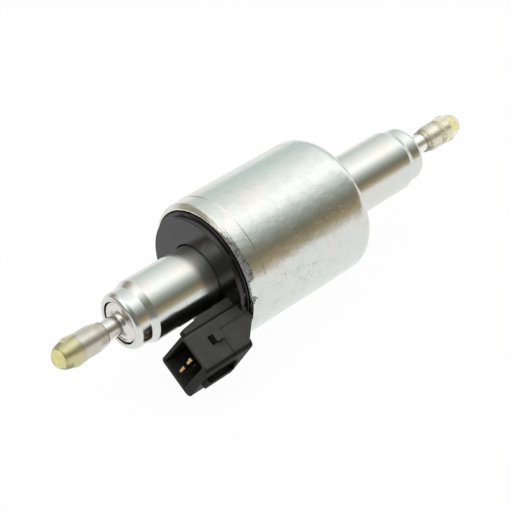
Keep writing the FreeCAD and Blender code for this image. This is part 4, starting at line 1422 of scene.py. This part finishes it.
@dataclass
class Studio:
    """The camera, the pale floor and the soft light round the pump.

    The room is a ramp of light by the angle about the pump's axis, in degrees, with overhead at 0.
    """

    camera_place: Place = (-198.318, -203.106, 227.714)
    forward: Place = (0.53068, 0.55856, -0.63746)
    upward: Place = (0.439, 0.462, 0.770)
    lens: float = 107.08
    sensor: float = 36.0
    floor_height: float = -17.52
    floor_reach: float = 3.0
    floor_colour: Colour = (0.86, 0.87, 0.87)
    floor_shadow: float = 0.03
    near_turn: float = 22.0
    near_spread: Span = (-0.42, 0.10)
    low_front: Colour = (0.18, 0.185, 0.18)
    low_back: Colour = (0.40, 0.35, 0.27)
    low_across: Span = (-0.50, 0.10)
    low_height: Span = (0.50, 0.80)
    low_depth: Span = (-0.6, 0.2)
    beam_towards: Place = (-0.03, 0.94, 0.30)
    beam_spread: Span = (0.10, 0.42)
    beam: Colour = (0.42, 0.37, 0.30)
    key_towards: Place = (-0.66, -0.02, 0.75)
    key_spread: Span = (0.10, 0.32)
    key_strength: float = 1.1
    room: tuple[tuple[float, Colour], ...] = (
        (-180.0, (0.75, 0.78, 0.77)),
        (-84.0, (0.68, 0.75, 0.74)),
        (-66.0, (0.74, 0.81, 0.79)),
        (-42.0, (0.97, 1.00, 0.98)),
        (-28.0, (1.16, 1.16, 1.14)),
        (0.0, (1.46, 1.45, 1.43)),
        (12.0, (1.27, 1.26, 1.25)),
        (24.0, (0.80, 0.84, 0.82)),
        (36.0, (0.46, 0.49, 0.45)),
        (50.0, (0.26, 0.27, 0.23)),
        (60.0, (0.19, 0.17, 0.12)),
        (70.0, (0.33, 0.27, 0.16)),
        (80.0, (0.43, 0.36, 0.23)),
        (92.0, (0.75, 0.73, 0.65)),
        (180.0, (0.75, 0.78, 0.77)),
    )

    def build(self) -> None:
        """Sets up the camera, world and floor."""
        self._camera()
        self._world()
        self._floor()
        bpy.context.scene.view_settings.view_transform = "Standard"

    def _camera(self) -> None:
        """Makes the camera at the photograph's viewing angle."""
        data = bpy.data.cameras.new("photo_camera")
        data.lens = self.lens
        data.sensor_width = self.sensor
        data.clip_start = 0.01
        camera = linked("photo_camera", data)
        ahead = Vector(self.forward).normalized()
        right = ahead.cross(Vector(self.upward)).normalized()
        turn = Matrix((right, right.cross(ahead), -ahead)).transposed().to_4x4()
        camera.matrix_world = Matrix.Translation(Vector(self.camera_place) * MM) @ turn
        bpy.context.scene.camera = camera

    def _world(self) -> None:
        """Lights the pump with a room that changes from overhead light to a darker front."""
        world = bpy.data.worlds.new("studio_room")
        world.use_nodes = True
        bpy.context.scene.world = world
        graph = Graph(world.node_tree)
        direction = graph.node("ShaderNodeTexCoord").outputs["Generated"]
        across, depth, height = graph.axes(direction)
        turn = graph.maths("ARCTAN2", depth * -1.0, height) / (2 * math.pi) + 0.5
        turn = turn + (1.0 - across.rises(*self.near_spread)) * (self.near_turn / 360.0)
        stops = [((degrees + 180.0) / 360.0, colour) for degrees, colour in self.room]
        room = graph.node("ShaderNodeValToRGB", {0: turn}, stops=stops).outputs[0]
        low = (1.0 - across.rises(*self.low_across)) * (1.0 - height.rises(*self.low_height))
        low_colour = graph.mixed(depth.rises(*self.low_depth), self.low_front, self.low_back)
        beam = 1.0 - graph.distance(direction, self.beam_towards).rises(*self.beam_spread)
        colour = graph.mixed(beam, graph.mixed(low, room, low_colour), self.beam)
        key = 1.0 - graph.distance(direction, self.key_towards).rises(*self.key_spread)
        strength = 1.0 + key * self.key_strength
        lit = graph.node("ShaderNodeBackground", {"Color": colour, "Strength": strength})
        white = graph.node("ShaderNodeBackground", {"Color": WHITE, "Strength": 1.0})
        seen = graph.node("ShaderNodeLightPath").outputs["Is Camera Ray"]
        both = graph.node("ShaderNodeMixShader", {0: seen, 1: lit, 2: white})
        graph.node("ShaderNodeOutputWorld", {"Surface": both})

    def _floor(self) -> None:
        """Lays a plain pale floor that keeps a faint shadow."""
        graph = MaterialGraph("pale_floor")
        path = graph.node("ShaderNodeLightPath").outputs
        seen = Signal(graph, path["Is Camera Ray"])
        for ray in ("Is Transmission Ray", "Is Glossy Ray"):
            seen = graph.maths("MAXIMUM", seen, Signal(graph, path[ray]))
        plain = graph.node("ShaderNodeBsdfDiffuse", {"Color": (*self.floor_colour, 1.0)})
        glow = graph.node("ShaderNodeEmission", {"Color": WHITE, "Strength": 1.0})
        both = graph.node("ShaderNodeMixShader", {0: seen * (1.0 - self.floor_shadow), 1: plain, 2: glow})
        graph.node("ShaderNodeOutputMaterial", {"Surface": both})
        mesh = bpy.data.meshes.new("floor")
        signs = ((-1, -1), (1, -1), (1, 1), (-1, 1))
        reach, height = self.floor_reach, self.floor_height * MM
        mesh.from_pydata([(across * reach, back * reach, height) for across, back in signs], [], [range(4)])
        mesh.materials.append(graph.material)
        linked("floor", mesh)


def main() -> None:
    """Builds every sub-assembly in order, then the studio."""
    logging.basicConfig(level=logging.INFO, format="%(name)s %(message)s")
    shop = Workshop()
    OuterCan(shop).build()
    CentreTube(shop).build()
    for end in End:
        HoseNozzle(shop, end).build()
        TransportCap(shop, end, Look[end.name + "_CAP"].value.tip).build()
    PlugSocket(shop).build()
    Solenoid(shop).build()
    PumpWorks(shop).build()
    Studio().build()


if __name__ == "__main__":
    main()
